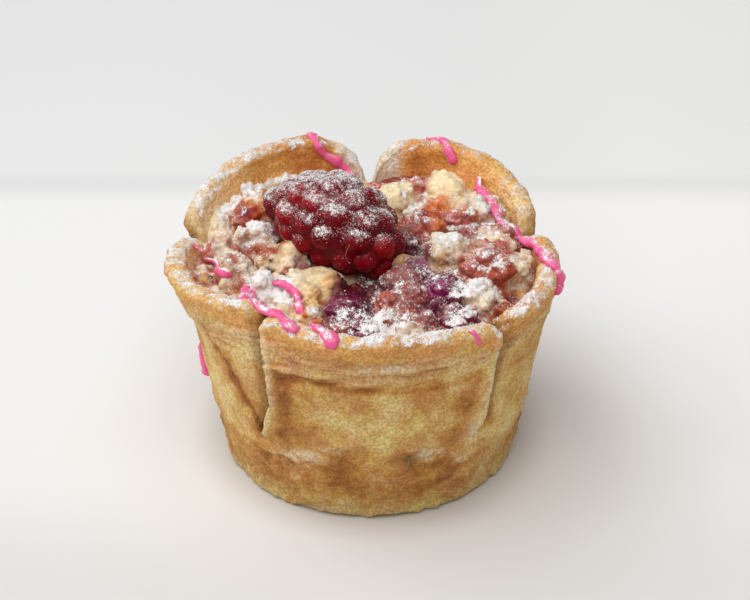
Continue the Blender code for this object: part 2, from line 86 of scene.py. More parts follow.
Pleat = namedtuple("Pleat", "rim_deg foot_deg step")
PLEATS = (
    Pleat(-35.0, -38.0, 1.2),
    Pleat(42.5, 38.0, -1.2),
    Pleat(105.0, 102.0, -1.1),
    Pleat(181.0, 179.0, 1.1),
    Pleat(258.0, 255.0, 1.1),
)
RimPoint = namedtuple("RimPoint", "deg radius z")
RIM = [[RimPoint(*row) for row in lobe] for lobe in (
    (
        (-35.0, 32.5, 43.6), (-28.0, 33.4, 43.8), (-20.0, 34.4, 43.4), (-13.0, 34.9, 43.2),
        (0.0, 35.1, 43.1), (9.0, 35.1, 43.0), (21.0, 35.0, 42.6), (31.0, 34.7, 41.8),
        (38.0, 34.2, 41.0), (42.5, 33.1, 39.8),
    ),
    (
        (42.5, 33.1, 39.8), (47.0, 34.5, 40.5), (55.0, 35.4, 41.2), (65.0, 35.7, 41.9),
        (75.0, 35.3, 42.5), (85.0, 34.6, 42.6), (93.0, 33.7, 42.1), (100.0, 32.9, 40.5),
        (105.0, 32.0, 38.3),
    ),
    (
        (105.0, 32.0, 38.3), (111.0, 33.8, 41.7), (119.0, 34.8, 43.5), (126.0, 35.0, 44.8),
        (134.0, 35.6, 46.0), (142.5, 35.8, 46.6), (152.0, 35.8, 46.8), (160.5, 35.4, 46.5),
        (170.0, 34.3, 45.7), (176.6, 33.4, 43.2), (181.0, 30.2, 37.6),
    ),
    (
        (181.0, 30.2, 37.6), (184.0, 33.1, 42.6), (187.5, 34.0, 44.4), (193.4, 34.8, 45.9),
        (198.5, 35.6, 47.2), (206.5, 35.9, 47.4), (218.0, 36.1, 47.4), (229.5, 36.2, 47.0),
        (239.0, 36.4, 45.8), (246.0, 36.9, 44.4), (252.0, 37.0, 42.6), (258.0, 35.3, 39.2),
    ),
    (
        (258.0, 35.3, 39.2), (263.0, 36.4, 40.4), (270.0, 37.1, 41.5), (281.0, 37.6, 42.4),
        (293.0, 37.5, 43.0), (301.0, 36.8, 43.5), (310.0, 35.3, 44.1), (318.0, 33.7, 44.2),
        (325.0, 32.5, 43.6),
    ),
)]
PLEAT_CREASE_DEG = 0.5
FOLD_WIDTH = 4.5
TUCK_SHARE = 0.6
# The rounded edge of the lobe that lies outside at a pleat, and the groove beside it: height, place, width
OUTER_EDGE = (0.45, 0.8, 0.6)
GROOVE = (1.6, 0.8, 0.8)
# How far the rim drops at a pleat, and within what distance: where a lobe lies outside, where it tucks in
RIM_DROPS = {1: (1.3, 0.7), -1: (0.8, 2.2)}
FOLD_ENDS_Z = ((14.5, 18.0), (16.5, 21.0), (8.0, 20.0), (8.0, 20.0), (8.0, 20.0))
# How the edges of the front flap wander from the straight pleats: (height, degrees)
PLEAT_BENDS = {
    0: (
        (12.0, -2.3), (15.5, -2.3), (20.0, 1.8), (23.7, 4.0), (26.9, 5.2), (30.5, 5.1), (33.7, 4.3),
        (37.7, 2.9), (40.4, 1.5), (43.5, 0.5),
    ),
    1: (
        (8.0, 2.0), (11.5, 1.5), (20.3, -1.5), (25.0, -1.8), (29.6, -2.0), (33.8, -1.7), (37.1, -1.4),
        (39.4, 0.0),
    ),
}

# The baked filling, as the solids have it
FILL_EDGE_SHARE = 0.42
FILL_EDGE_BASE = 20.4
FILL_BELOW_RIM = 3.0
FILL_CENTRE_Z = 39.4
FILL_DOME_CURVE = 2.5
FILL_RIPPLE = (0.5, 4.5)
FILL_UNDERSIDE_Z = 31.0
INTO_PASTRY = 0.5
Swell = namedtuple("Swell", "x y width height")
SWELLS = (
    Swell(17.0, -2.0, 9.0, 2.2),
    Swell(11.0, 15.5, 8.0, 1.5),
    Swell(-16.0, -6.5, 8.0, 0.9),
)

# What the lumps are made of: colour, how wet they look, the depth of their roughness, and their sugar
Kind = namedtuple("Kind", "colour wet rough sugar")
KINDS = {
    "crumble": Kind((0.95, 0.83, 0.60), 0.05, 1.0, 0.0),
    "cream": Kind((0.96, 0.88, 0.70), 0.10, 0.8, 0.0),
    "sugared": Kind((0.93, 0.84, 0.70), 0.10, 0.9, 0.26),
    "toasted": Kind((0.78, 0.50, 0.22), 0.15, 0.9, 0.05),
    "custard": Kind((0.82, 0.68, 0.43), 0.35, 0.18, -0.24),
    "yellow": Kind((0.96, 0.85, 0.54), 0.25, 0.25, -0.10),
    "orange": Kind((0.66, 0.19, 0.03), 0.90, 0.30, -0.06),
    "red": Kind((0.50, 0.06, 0.025), 0.92, 0.30, -0.05),
    "pink": Kind((0.51, 0.12, 0.09), 0.80, 0.5, 0.14),
    "brown": Kind((0.34, 0.11, 0.10), 0.85, 0.40, 0.14),
    "purple": Kind((0.19, 0.014, 0.065), 0.95, 0.35, 0.05),
    "magenta": Kind((0.27, 0.015, 0.12), 0.95, 0.30, 0.05),
    "dark": Kind((0.09, 0.006, 0.018), 0.95, 0.35, 0.0),
    "syrup": Kind((0.34, 0.085, 0.022), 0.92, 0.30, 0.0),
    "jam": Kind((0.38, 0.060, 0.020), 0.92, 0.30, -0.24),
    "gap": Kind((0.15, 0.012, 0.014), 0.95, 0.30, -0.05),
}
SMOOTHER_KINDS = {"custard": 0.35, "yellow": 0.6}
Lump = namedtuple("Lump", "x y size tall kind")
LUMPS = [Lump(*row) for row in (
    (14.0, -2.8, 3.8, 0.80, "crumble"), (22.4, -6.6, 5.0, 0.75, "orange"),
    (19.2, -14.2, 3.4, 0.75, "crumble"), (6.2, -9.6, 4.0, 0.65, "brown"),
    (6.0, -16.2, 4.4, 0.55, "pink"), (13.0, -12.6, 4.2, 0.55, "purple"),
    (-9.6, -12.4, 5.6, 0.45, "custard"), (-15.6, -4.0, 4.6, 0.55, "crumble"),
    (-20.2, 4.8, 4.0, 0.75, "crumble"), (-21.6, 13.0, 4.2, 0.75, "orange"),
    (-24.2, -6.4, 3.7, 0.75, "crumble"), (-19.0, -12.8, 4.2, 0.65, "crumble"),
    (-27.0, 1.0, 3.6, 0.70, "cream"), (14.8, 22.4, 4.0, 0.75, "yellow"),
    (5.0, 17.8, 3.6, 0.90, "yellow"), (17.6, 10.6, 4.7, 0.70, "pink"), (10.2, 7.8, 4.2, 0.65, "red"),
    (23.2, 2.6, 4.2, 0.70, "pink"), (-3.2, 21.4, 3.8, 0.70, "crumble"),
    (-11.6, 21.6, 4.0, 0.65, "toasted"), (24.6, 15.2, 4.2, 0.65, "toasted"),
    (-4.2, -18.4, 4.4, 0.50, "dark"), (8.0, -22.4, 3.8, 0.55, "red"),
    (-0.4, -24.0, 3.4, 0.55, "purple"), (-11.0, -21.2, 3.2, 0.55, "toasted"),
    (15.6, -20.6, 3.3, 0.60, "purple"), (22.6, -17.4, 3.0, 0.65, "red"),
)]
LUMP_UNEVENNESS = 0.34
LUMP_FROM_EDGE = 1.2
LUMP_RISE = 0.25
SMALL_LUMPS = 20
SMALL_LUMP_SIZES = (2.0, 3.0)
SMALL_LUMP_HEIGHTS = (0.6, 0.85)
SMALL_LUMP_REACH = 28.0
LUMP_SPACING = 0.65
LUMP_FROM_BERRY_AXIS = 6.0
LUMP_SEED = 11
KIND_SEED = 5

# The raspberry, as the solids have it
BERRY_NARROW_END = (-20.4, 9.6, 46.2)
BERRY_WIDE_END = (5.6, -8.0, 43.2)
BERRY_ARCH = 2.3
BERRY_OUTLINE = (
    (0.0, 0.0), (0.03, 1.7), (0.07, 2.7), (0.16, 4.5), (0.29, 7.2), (0.42, 8.8), (0.55, 9.3),
    (0.67, 9.0), (0.79, 8.0), (0.88, 6.4), (0.95, 4.4), (0.98, 2.8), (1.0, 0.0),
)
DRUPELET_RADIUS = 2.75
DRUPELETS = 52
DRUPELET_CHOICES = 600
SEEN_DRUPELETS = (
    (0.10, 33), (0.29, 16), (0.31, 96), (0.33, 58), (0.48, 51), (0.48, 18), (0.51, 82), (0.66, 48),
    (0.62, 8), (0.70, 80), (0.83, 66), (0.72, 108), (0.84, 32), (0.88, 98), (0.96, 52), (0.90, -8),
    (0.76, -22), (0.47, -20),
)
BERRY_CORE_INSET = 1.25
BERRY_SEED = 8

# The icing: half the width of each strand, and points near the surface that it lies on
Strand = namedtuple("Strand", "half_width end_widening dust route")
STRANDS = (
    Strand(1.20, 0.0, -0.3, (
        (-22.8, -15.6, 41.9), (-21.4, -17.2, 42.3), (-20.2, -19.2, 42.8), (-19.2, -21.6, 43.6),
    )),
    Strand(1.0, 0.15, -0.1, (
        (-22.4, -17.0, 42.4), (-20.6, -20.0, 43.4), (-18.8, -24.3, 44.5), (-17.2, -25.4, 44.6),
        (-14.9, -27.6, 44.9), (-13.5, -30.0, 44.6), (-12.1, -31.2, 43.4),
    )),
    Strand(1.05, 0.25, -0.55, (
        (-9.3, -26.3, 41.8), (-8.5, -29.2, 43.7), (-7.7, -31.2, 44.1), (-6.5, -33.4, 43.7),
        (-5.7, -34.8, 42.0),
    )),
    Strand(0.68, 0.0, -0.3, (
        (-17.6, -14.4, 42.5), (-15.6, -15.0, 42.5), (-14.0, -16.2, 42.6), (-12.9, -18.0, 42.3),
        (-12.3, -20.2, 41.9), (-12.0, -22.6, 41.2),
    )),
    Strand(0.50, 0.6, 0.40, (
        (-32.0, 3.6, 39.8), (-30.4, -0.4, 39.6), (-28.2, -5.2, 40.6), (-26.4, -8.8, 41.2),
        (-24.6, -9.8, 41.6),
    )),
    Strand(0.85, 0.2, 0.0, (
        (-11.8, 33.6, 48.0), (-11.0, 31.2, 47.0), (-9.8, 29.6, 45.6), (-8.0, 28.6, 44.0),
        (-5.7, 28.4, 42.2), (-3.6, 27.6, 41.2), (-1.6, 25.6, 41.4),
    )),
    Strand(0.80, 0.0, 0.0, (
        (11.6, 34.6, 47.4), (13.2, 32.6, 47.6), (14.6, 30.2, 46.8), (15.8, 28.0, 45.2),
        (16.6, 27.0, 43.6),
    )),
    Strand(1.0, 0.9, 0.30, (
        (20.0, 22.8, 42.6), (21.2, 17.9, 43.0), (22.7, 14.5, 43.4), (23.8, 11.0, 43.0),
        (25.4, 6.6, 42.6), (28.0, 3.4, 41.8), (30.4, -2.6, 42.6), (32.4, -7.6, 43.0),
        (34.6, -9.6, 42.0), (35.9, -9.8, 39.7), (35.9, -9.9, 37.0),
    )),
    Strand(1.15, 0.4, -0.5, (
        (-32.6, -4.4, 23.0), (-32.3, -4.8, 19.4), (-31.5, -5.0, 16.0),
    )),
    Strand(0.40, 0.3, 0.1, (
        (17.0, -28.6, 42.6), (18.2, -28.8, 41.0), (19.0, -28.8, 39.0),
    )),
)
ICING_FLATNESS = 0.62
ICING_SPACING = 0.35
ICING_SUNK = 0.18
ICING_DROP = (1.8, 5.4)  # distances from its end between which a strand grows into a drop
ICING_CORNERS = 16
ICING_ROUTE_ROUNDS, ICING_TILT_ROUNDS = 6, 24
ICING_WAVER = 0.35
ICING_ROUGHNESS = 0.10
ICING_DUST = 0.50
DUST_ENDS_BY = (0.60, 0.80)  # shares of a strand's length

# Fineness of the meshes
LOBE_COLUMNS = 96
FOOT_ROWS, FILLET_ROWS, WALL_ROWS, RIM_ROWS, INNER_ROWS = 8, 6, 112, 22, 24
HIDDEN_WALL = 3.0
FILL_COLUMNS, FILL_RINGS = 40, 34
LUMP_DETAIL, CRUMB_DETAIL, DRUPELET_DETAIL = 4, 3, 4
FILLING_VOXEL = 0.31
BERRY_VOXEL = 0.22

# Colours of the pastry, from the palest to the darkest bake
PASTRY = ((0.90, 0.70, 0.32), (0.78, 0.49, 0.17), (0.64, 0.305, 0.080), (0.38, 0.145, 0.033))
BAKE_STOPS = (0.0, 0.35, 0.7, 1.0)
GOLDEN = (0.86, 0.46, 0.14)
FLOUR = (0.86, 0.73, 0.54)
# Painted backlight on the pastry's edges by the gap at the back
BACKLIT_EDGE_COLOUR = (0.96, 0.90, 0.76)
# Painted shade in the slits beside the flaps
SLIT_SHADE_COLOUR = (0.13, 0.055, 0.016)
# Painted shade in the pits of the pastry
PIT_SHADE_COLOUR = (0.22, 0.15, 0.045)
INSIDE_TONE = (1.22, 1.10, 1.05)
SUGAR = (0.93, 0.91, 0.90)
SUGAR_SHADE = (0.86, 0.83, 0.82)
ICING_PINKS = ((0.82, 0.06, 0.23), (0.93, 0.20, 0.43))
BERRY_REDS = ((0.19, 0.001, 0.008), (0.38, 0.003, 0.012))
HAIR_BROWNS = ((0.30, 0.10, 0.045), (0.50, 0.25, 0.12))

# Layers of noise that are added up, as (amount, size, seed)
PASTRY_GRAIN = ((0.22, 3.0, 1), (0.15, 1.5, 2), (0.11, 0.8, 3))
RAGGED_RIM = ((0.36, 2.3, 7), (0.20, 1.1, 8))
BLISTERS = ((0.34, 2.0, 10), (0.26, 1.0, 11))
MOTTLED = ((0.34, 7.0, 21), (0.30, 3.0, 22), (0.22, 1.2, 23))
RIM_CLUMPS = ((0.42, 2.6, 31), (0.44, 1.1, 32), (0.20, 0.6, 33))
FILLING_SHADE = ((0.16, 2.2, 44), (0.16, 0.9, 45))
FILLING_CLUMPS = ((0.34, 2.6, 50), (0.42, 1.2, 51))
BERRY_CLUMPS = ((0.40, 2.6, 61), (0.40, 0.9, 62))
ICING_UNEVENNESS = ((0.50, 2.4, 72), (0.40, 1.0, 73))
ICING_CLUMPS = ((0.55, 2.0, 71), (0.35, 0.9, 76))

# Soft patches of the wall, with their sizes across it and up it. In BROWNED an amount above 0 is browner,
# and one below 0 is paler.
Patch = namedtuple("Patch", "deg z across up amount")
BROWNED = [Patch(*row) for row in (
    (-26.5, 29.5, 2.6, 4.4, 0.50), (-15.0, 33.6, 5.0, 0.9, 0.30), (-1.0, 32.3, 6.0, 0.8, 0.25),
    (-28.5, 18.5, 3.2, 4.5, 0.55), (-18.9, 21.8, 2.0, 2.2, 0.22), (-8.4, 12.6, 5.0, 2.4, 0.28),
    (12.0, 12.6, 6.5, 2.4, 0.17), (29.4, 18.4, 2.4, 4.4, 0.42), (31.0, 26.0, 1.6, 5.0, 0.25),
    (-44.3, 24.1, 1.8, 4.0, 0.45), (-49.0, 29.0, 1.4, 3.5, 0.30), (-64.6, 16.2, 1.6, 2.0, 0.30),
    (-41.0, 15.3, 3.0, 2.4, 0.22), (55.6, 28.9, 3.4, 1.0, 0.35), (9.0, 23.8, 8.0, 4.6, -0.30),
    (-10.1, 25.0, 3.4, 3.4, -0.22), (-43.0, 35.9, 3.0, 4.4, -0.44), (-63.0, 23.0, 3.0, 6.0, -0.32),
    (-7.0, 4.4, 9.0, 1.8, -0.25), (19.0, 3.4, 9.0, 1.8, -0.20), (55.0, 6.5, 5.0, 3.5, -0.25),
    (47.0, 22.4, 2.2, 7.5, -0.14), (46.0, 33.0, 1.6, 5.0, 0.20), (-62.0, 32.0, 7.0, 7.0, -0.28),
    (-52.0, 20.0, 4.0, 5.0, -0.28), (27.5, 37.0, 3.0, 3.0, -0.30), (-60.0, 10.0, 7.0, 6.0, -0.30),
    (-48.0, 5.0, 5.0, 3.0, -0.15), (62.0, 14.0, 6.0, 8.0, -0.22), (48.0, 9.0, 5.0, 5.0, -0.18),
    (37.0, 30.0, 1.6, 8.0, -0.20), (56.0, 24.0, 7.0, 9.0, -0.22), (96.0, 24.0, 5.0, 4.0, 0.30),
    (118.0, 20.0, 6.0, 5.0, -0.25), (150.0, 17.0, 6.0, 3.0, 0.30), (184.0, 25.0, 4.0, 5.0, 0.30),
    (215.0, 21.0, 7.0, 5.0, -0.28), (244.0, 14.0, 5.0, 3.0, 0.28), (266.0, 26.0, 4.0, 5.0, -0.25),
)]
FLAKES = [Patch(*row) for row in (
    (-22.5, 14.4, 3.0, 1.0, 0.9), (21.0, 15.1, 2.6, 1.1, 0.9), (6.0, 37.3, 3.6, 0.6, 1.0),
    (-13.0, 17.0, 2.0, 0.8, 0.5), (35.5, 18.0, 1.2, 2.6, 0.8), (120.0, 13.0, 4.0, 1.0, 0.8),
    (205.0, 15.0, 3.5, 1.0, 0.8), (285.0, 12.0, 3.0, 1.0, 0.7),
)]

# Where the inside of the pastry is browner (above 0) or paler, as (amount, azimuth, width)
INNER_BAKE = ((0.36, 157.0, 9.0), (0.40, -160.0, 11.0), (-0.45, 113.0, 15.0), (-0.45, -108.0, 20.0))

# Creases of the wall, as (azimuth, height) routes, with their depth, width and browning
Crease = namedtuple("Crease", "depth width brown route")
CREASES = (
    Crease(0.35, 1.0, 0.50, (
        (-58.0, 36.0), (-55.5, 33.9), (-53.4, 31.9), (-50.2, 30.2), (-47.9, 27.8), (-46.2, 24.8),
        (-44.1, 21.7), (-41.6, 18.8), (-39.8, 16.3),
    )),
    Crease(0.25, 0.7, 0.30, (
        (-26.6, 32.3), (-22.1, 34.0), (-17.6, 34.0), (-11.8, 32.8), (-5.8, 32.1), (3.2, 31.5), (12.3, 31.4),
        (21.8, 31.1), (30.0, 31.5), (35.2, 32.2),
    )),
    Crease(0.22, 0.4, 0.35, ((-18.5, 33.6), (-14.0, 33.0), (-9.0, 33.6), (-4.0, 34.4))),
    Crease(0.20, 0.4, 0.25, ((4.0, 35.2), (12.0, 35.0), (20.0, 35.6), (28.0, 36.0))),
    Crease(0.16, 0.4, 0.20, ((-20.0, 38.2), (-10.0, 37.4), (0.0, 38.2), (11.0, 37.9), (20.0, 38.0))),
)

# (azimuth, amount) of the powdered sugar along the rim
RIM_POWDER = (
    (-180.0, 0.62), (-172.0, 0.70), (-166.0, 0.55), (-158.0, 0.46), (-140.0, 0.66), (-125.0, 0.70),
    (-108.0, 0.76), (-100.0, 0.70), (-84.0, 0.60), (-60.0, 0.58), (-35.0, 0.54), (-22.0, 0.62),
    (-8.0, 0.50), (0.0, 0.66), (22.0, 0.66), (36.0, 0.58), (44.0, 0.66), (60.0, 0.62), (82.0, 0.52),
    (100.0, 0.54), (118.0, 0.50), (150.0, 0.34), (163.0, 0.50), (170.0, 0.70), (180.0, 0.62),
)
SEAM_OVERHANG = 1.0
SEAM_TUCK = 0.5
SEAM_REACH = 0.8

# (azimuth, height) along which the bottom of the pale front panel flakes
FLAKE_LINE = (
    (-36.0, 13.0), (-24.5, 13.5), (-13.0, 16.6), (-6.4, 18.7), (3.5, 18.0), (10.0, 17.0), (21.0, 16.0),
    (35.0, 11.5),
)
PITS = [Patch(*row) for row in (
    (-29.0, 11.3, 1.1, 0.9, 0.5), (14.0, 13.9, 1.8, 1.3, 0.7), (-42.0, 8.0, 1.0, 0.8, 0.4),
    (-60.6, 10.3, 0.9, 0.9, 0.5), (95.0, 12.0, 1.4, 1.0, 0.5), (200.0, 10.0, 1.3, 1.0, 0.5),
)]


def radians(degrees):
    return degrees * math.pi / 180.0


def smooth_step(low, high, value):
    share = np.clip((value - low) / (high - low), 0.0, 1.0)
    return share * share * (3.0 - 2.0 * share)


def bell(value, middle, width):
    return np.exp(-(((value - middle) / width) ** 2))


def mix(a, b, share):
    return a + (b - a) * share


def table_at(table, places):
    """The amounts at some places, read off a table of (place, amount) rows."""
    return np.interp(places, *zip(*table))


def within_half_turn(degrees):
    return (degrees + 180.0) % 360.0 - 180.0


def at(azimuth, radius, z):
    """Points at azimuths in radians, as rows of x, y, z."""
    azimuth, radius, z = np.broadcast_arrays(azimuth, radius, z)
    return np.stack([radius * np.sin(azimuth), -radius * np.cos(azimuth), z], axis=-1)


def field(points, size, seed=0, stretch=(1.0, 1.0, 1.0)):
    """Smooth noise of about -1 to 1 at each point, with features of a size in millimetres."""
    spots = np.asarray(points) / (size * np.array(stretch)) + seed * np.array([17.3, 9.1, 4.7])
    values = [noise.noise(spot) for spot in spots.reshape(-1, 3).tolist()]
    return np.array(values).reshape(spots.shape[:-1])


def noises(points, layers):
    return sum(amount * field(points, size, seed) for amount, size, seed in layers)


# Forms of the pastry

Column = namedtuple("Column", "lobe share crest_radius crest_z tin_edge_z fill_edge_z")


def crest(lobe, share):
    """(radius, z) of the top of the rim, on a smooth curve through the lobe's rim points."""
    points = RIM[lobe]
    deg = mix(points[0].deg, points[-1].deg, share)
    k = max(1, sum(point.deg <= deg for point in points))
    k = min(k, len(points) - 1)
    before, a = points[max(k - 2, 0)], points[k - 1]
    b, after = points[k], points[min(k + 1, len(points) - 1)]
    t = (deg - a.deg) / (b.deg - a.deg)
    values = []
    for axis in (1, 2):
        start = (b[axis] - before[axis]) / (b.deg - before.deg) * (b.deg - a.deg)
        end = (after[axis] - a[axis]) / (after.deg - a.deg) * (b.deg - a.deg)
        rise = t * t * (3 - 2 * t)
        values.append(mix(a[axis], b[axis], rise) + start * t * (1 - t) ** 2 - end * t * t * (1 - t))
    radius, z = values
    spot = Vector(at(radians(deg), 6.0, 3.0))
    ragged = noise.noise(spot) + 0.6 * noise.noise(spot * 2.3)
    return radius, z + RIM_RAGGEDNESS * ragged


def column_at(lobe, share):
    radius, z = crest(lobe, share)
    fill_edge_z = min(FILL_EDGE_BASE + FILL_EDGE_SHARE * z, z - FILL_BELOW_RIM)
    return Column(lobe, share, radius, z, min(TIN_EDGE_Z, z - TIN_EDGE_BELOW_RIM), fill_edge_z)


def columns(per_lobe):
    """Every column round the cup, closer together near the pleats."""
    found = []
    for lobe in range(len(RIM)):
        for k in range(per_lobe):
            share = k / (per_lobe - 1)
            found.append(column_at(lobe, mix(share, (1 - math.cos(math.pi * share)) / 2, 0.92)))
    return found


def pleat_azimuth(index, z):
    turn, which = divmod(index, len(PLEATS))
    pleat = PLEATS[which]
    bend = table_at(PLEAT_BENDS[which], z) if which in PLEAT_BENDS else 0.0
    return radians(mix(pleat.foot_deg, pleat.rim_deg, z / RIM_REFERENCE_Z) + 360.0 * turn + bend)


def column_azimuth(column, z):
    crease = radians(PLEAT_CREASE_DEG)
    start, end = pleat_azimuth(column.lobe, z) + crease, pleat_azimuth(column.lobe + 1, z) - crease
    return mix(start, end, column.share)


def tin_radius(z):
    return FOOT_RADIUS + FOOT_FILLET + (z - FOOT_FILLET) * math.tan(radians(WALL_TAPER_DEG))


def plain_radius(column, z):
    lean_from = column.tin_edge_z - LEAN_BELOW_TIN_EDGE
    top_z = column.crest_z - RIM_ROUNDING
    share = np.clip((z - lean_from) / (top_z - lean_from), 0.0, 1.0)
    return tin_radius(z) + (column.crest_radius - tin_radius(top_z)) * share**LEAN_CURVE


def pleat_distances(column, z, radius):
    """Distances in millimetres from the pleats before and after the column."""
    azimuth = column_azimuth(column, z)
    return [abs(azimuth - pleat_azimuth(column.lobe + side, z)) * radius for side in (0, 1)]


def pleat_sides(column, z, radius):
    """For both pleats of a column: how far it is, +1 where this lobe lies outside and -1 where it tucks in,
    how high the step is, and how much of it is left at this height."""
    found = []
    for side, distance in enumerate(pleat_distances(column, z, radius)):
        which = (column.lobe + side) % len(PLEATS)
        step = PLEATS[which].step * (1 if side == 0 else -1)
        found.append((distance, math.copysign(1.0, step), abs(step), smooth_step(*FOLD_ENDS_Z[which], z)))
    return found


def outer_radius(column, z):
    radius = plain_radius(column, z)
    rise = 0.0
    for distance, way, step, left in pleat_sides(column, z, radius):
        fold = step * np.exp(-distance / FOLD_WIDTH)
        if way > 0:
            height, place, width = OUTER_EDGE
            shape = fold + height * bell(distance, place, width)
        else:
            height, place, width = GROOVE
            shape = -fold * TUCK_SHARE - height * bell(distance, place, width)
        rise = rise + shape * left
    azimuth = column_azimuth(column, z)
    uneven = sum(depth * field(at(azimuth, radius, z), size) for depth, size in WALL_SWELLS)
    share = table_at(TIN_EDGE_SHARES, within_half_turn(np.degrees(azimuth)))
    crease = -TIN_EDGE_CREASE * share * bell(z, column.tin_edge_z, TIN_EDGE_CREASE_WIDTH)
    return radius + rise + (uneven + crease) * smooth_step(0.0, EVEN_BELOW_Z, z)


def inner_radius(column, z):
    top_z = column.crest_z - RIM_ROUNDING
    thickness = mix(WALL_THICKNESS, RIM_THICKNESS, smooth_step(WALL_THINS_FROM_Z, top_z, z))
    return plain_radius(column, np.minimum(z, top_z)) - thickness


# Meshes


def grid_faces(across, along):
    """Faces of a grid of points that is closed across, with one more point to close each end."""
    faces = []
    start, end = across * along, across * along + 1
    for i in range(across):
        here, there = i * along, (i + 1) % across * along
        faces.append((start, there, here))
        faces.append((end, here + along - 1, there + along - 1))
        for row in range(along - 1):
            faces.append((here + row, there + row, there + row + 1, here + row + 1))
    return faces


def mesh_object(name, points, faces):
    mesh = bpy.data.meshes.new(name)
    mesh.from_pydata((np.asarray(points) * MM).tolist(), [], faces)
    mesh.shade_smooth()
    obj = bpy.data.objects.new(name, mesh)
    bpy.context.scene.collection.objects.link(obj)
    return obj


def mesh_points(obj):
    points = np.empty(len(obj.data.vertices) * 3, np.float32)
    obj.data.vertices.foreach_get("co", points)
    return points.reshape(-1, 3).astype(float) / MM


def mesh_normals(obj):
    normals = np.empty(len(obj.data.vertices) * 3, np.float32)
    obj.data.vertex_normals.foreach_get("vector", normals)
    return normals.reshape(-1, 3).astype(float)


def place_points(obj, points):
    obj.data.vertices.foreach_set("co", (points * MM).astype(np.float32).ravel())
    obj.data.update()


def store(obj, name, values):
    """Keeps a number, or a colour, for each point of a mesh."""
    values = np.asarray(values, np.float32)
    if values.ndim == 1:
        obj.data.attributes.new(name, "FLOAT", "POINT").data.foreach_set("value", values)
        return
    colours = np.ones((len(values), 4), np.float32)
    colours[:, :3] = np.clip(values, 0.0, 1.0)
    obj.data.attributes.new(name, "FLOAT_COLOR", "POINT").data.foreach_set("color", colours.ravel())


def ball(subdivisions):
    """(directions, faces) of a ball of triangles."""
    bm = bmesh.new()
    bmesh.ops.create_icosphere(bm, subdivisions=subdivisions, radius=1.0)
    directions = np.array([vert.co.normalized() for vert in bm.verts])
    faces = [[vert.index for vert in face.verts] for face in bm.faces]
    bm.free()
    return directions, faces


def joined(parts):
    """(points, faces) of several (points, faces) in one."""
    points, faces, base = [], [], 0
    for some_points, some_faces in parts:
        points.append(some_points)
        faces += [[base + i for i in face] for face in some_faces]
        base += len(some_points)
    return np.concatenate(points), faces


def fused(name, parts, voxel, smoothing):
    """One skin round closed shapes that run into each other."""
    obj = mesh_object(name, *joined(parts))
    remesh = obj.modifiers.new("fuse", "REMESH")
    remesh.mode = "VOXEL"
    remesh.voxel_size = voxel * MM
    smooth = obj.modifiers.new("smooth", "SMOOTH")
    smooth.iterations = smoothing
    bpy.context.view_layer.update()
    evaluated = obj.evaluated_get(bpy.context.evaluated_depsgraph_get())
    mesh = bpy.data.meshes.new_from_object(evaluated)
    obj.modifiers.clear()
    obj.data = mesh
    mesh.shade_smooth()
    return obj


def close_below(obj, z):
    """Puts one fan of faces in place of the small faces of a flat underside, which nothing shows."""
    bm = bmesh.new()
    bm.from_mesh(obj.data)
    low = [face for face in bm.faces if all(vert.co.z < z * MM for vert in face.verts)]
    bmesh.ops.delete(bm, geom=low, context="FACES")
    middle = bm.verts.new((0.0, 0.0, z * MM))
    for edge in [edge for edge in bm.edges if edge.is_boundary]:
        loop = edge.link_loops[0]
        bm.faces.new((loop.link_loop_next.vert, loop.vert, middle))
    bm.to_mesh(obj.data)
    bm.free()
    obj.data.shade_smooth()


def tree_of(*objects):
    """A search tree over the faces of several objects, in millimetres."""
    points, faces = [], []
    for obj in objects:
        base = len(points)
        points += mesh_points(obj).tolist()
        faces += [[base + i for i in polygon.vertices] for polygon in obj.data.polygons]
    return BVHTree.FromPolygons(points, faces)


# Shaders


def add_node(tree, kind, inputs=None, **settings):
    """A shader node with its settings, and its inputs as values or as links."""
    node = tree.nodes.new(kind)
    for key, value in settings.items():
        setattr(node, key, value)
    for key, value in (inputs or {}).items():
        if isinstance(value, bpy.types.NodeSocket):
            tree.links.new(value, node.inputs[key])
        else:
            node.inputs[key].default_value = value
    return node


def math_node(tree, operation, a, b=0.0, clamp=False):
    node = add_node(tree, "ShaderNodeMath", {0: a, 1: b}, operation=operation, use_clamp=clamp)
    return node.outputs[0]


def ranged(tree, value, low, high, to_low=0.0, to_high=1.0):
    names = {"Value": value, "From Min": low, "From Max": high, "To Min": to_low, "To Max": to_high}
    return add_node(tree, "ShaderNodeMapRange", names, interpolation_type="SMOOTHSTEP").outputs[0]


def mixed_colour(tree, share, a, b, blend="MIX"):
    node = add_node(tree, "ShaderNodeMix", data_type="RGBA", blend_type=blend)
    for key, value in {0: share, 6: a, 7: b}.items():
        if isinstance(value, bpy.types.NodeSocket):
            tree.links.new(value, node.inputs[key])
        else:
            node.inputs[key].default_value = value if key == 0 else (*value, 1.0)
    return node.outputs[2]


def grain(tree, size, detail=2.0):
    """Noise with features of a size in millimetres, fixed to the object."""
    place = add_node(tree, "ShaderNodeTexCoord").outputs["Object"]
    inputs = {"Vector": place, "Scale": 1.0 / (size * MM), "Detail": detail}
    return add_node(tree, "ShaderNodeTexNoise", inputs).outputs[0]


def attribute(tree, name, output="Fac"):
    return add_node(tree, "ShaderNodeAttribute", attribute_name=name).outputs[output]


def new_material(name, **values):
    """A material, and its shader's inputs set by their names with _ for each space."""
    material = bpy.data.materials.new(name)
    material.use_nodes = True
    tree = material.node_tree
    shader = tree.nodes["Principled BSDF"]
    for key, value in values.items():
        shader.inputs[key.replace("_", " ")].default_value = value
    return material, tree, shader


def toned(tree, colour, tone):
    """The product of a colour and a tone."""
    return mixed_colour(tree, 1.0, colour, tone, "MULTIPLY")


def times(tree, value, factor):
    return math_node(tree, "MULTIPLY", value, factor)


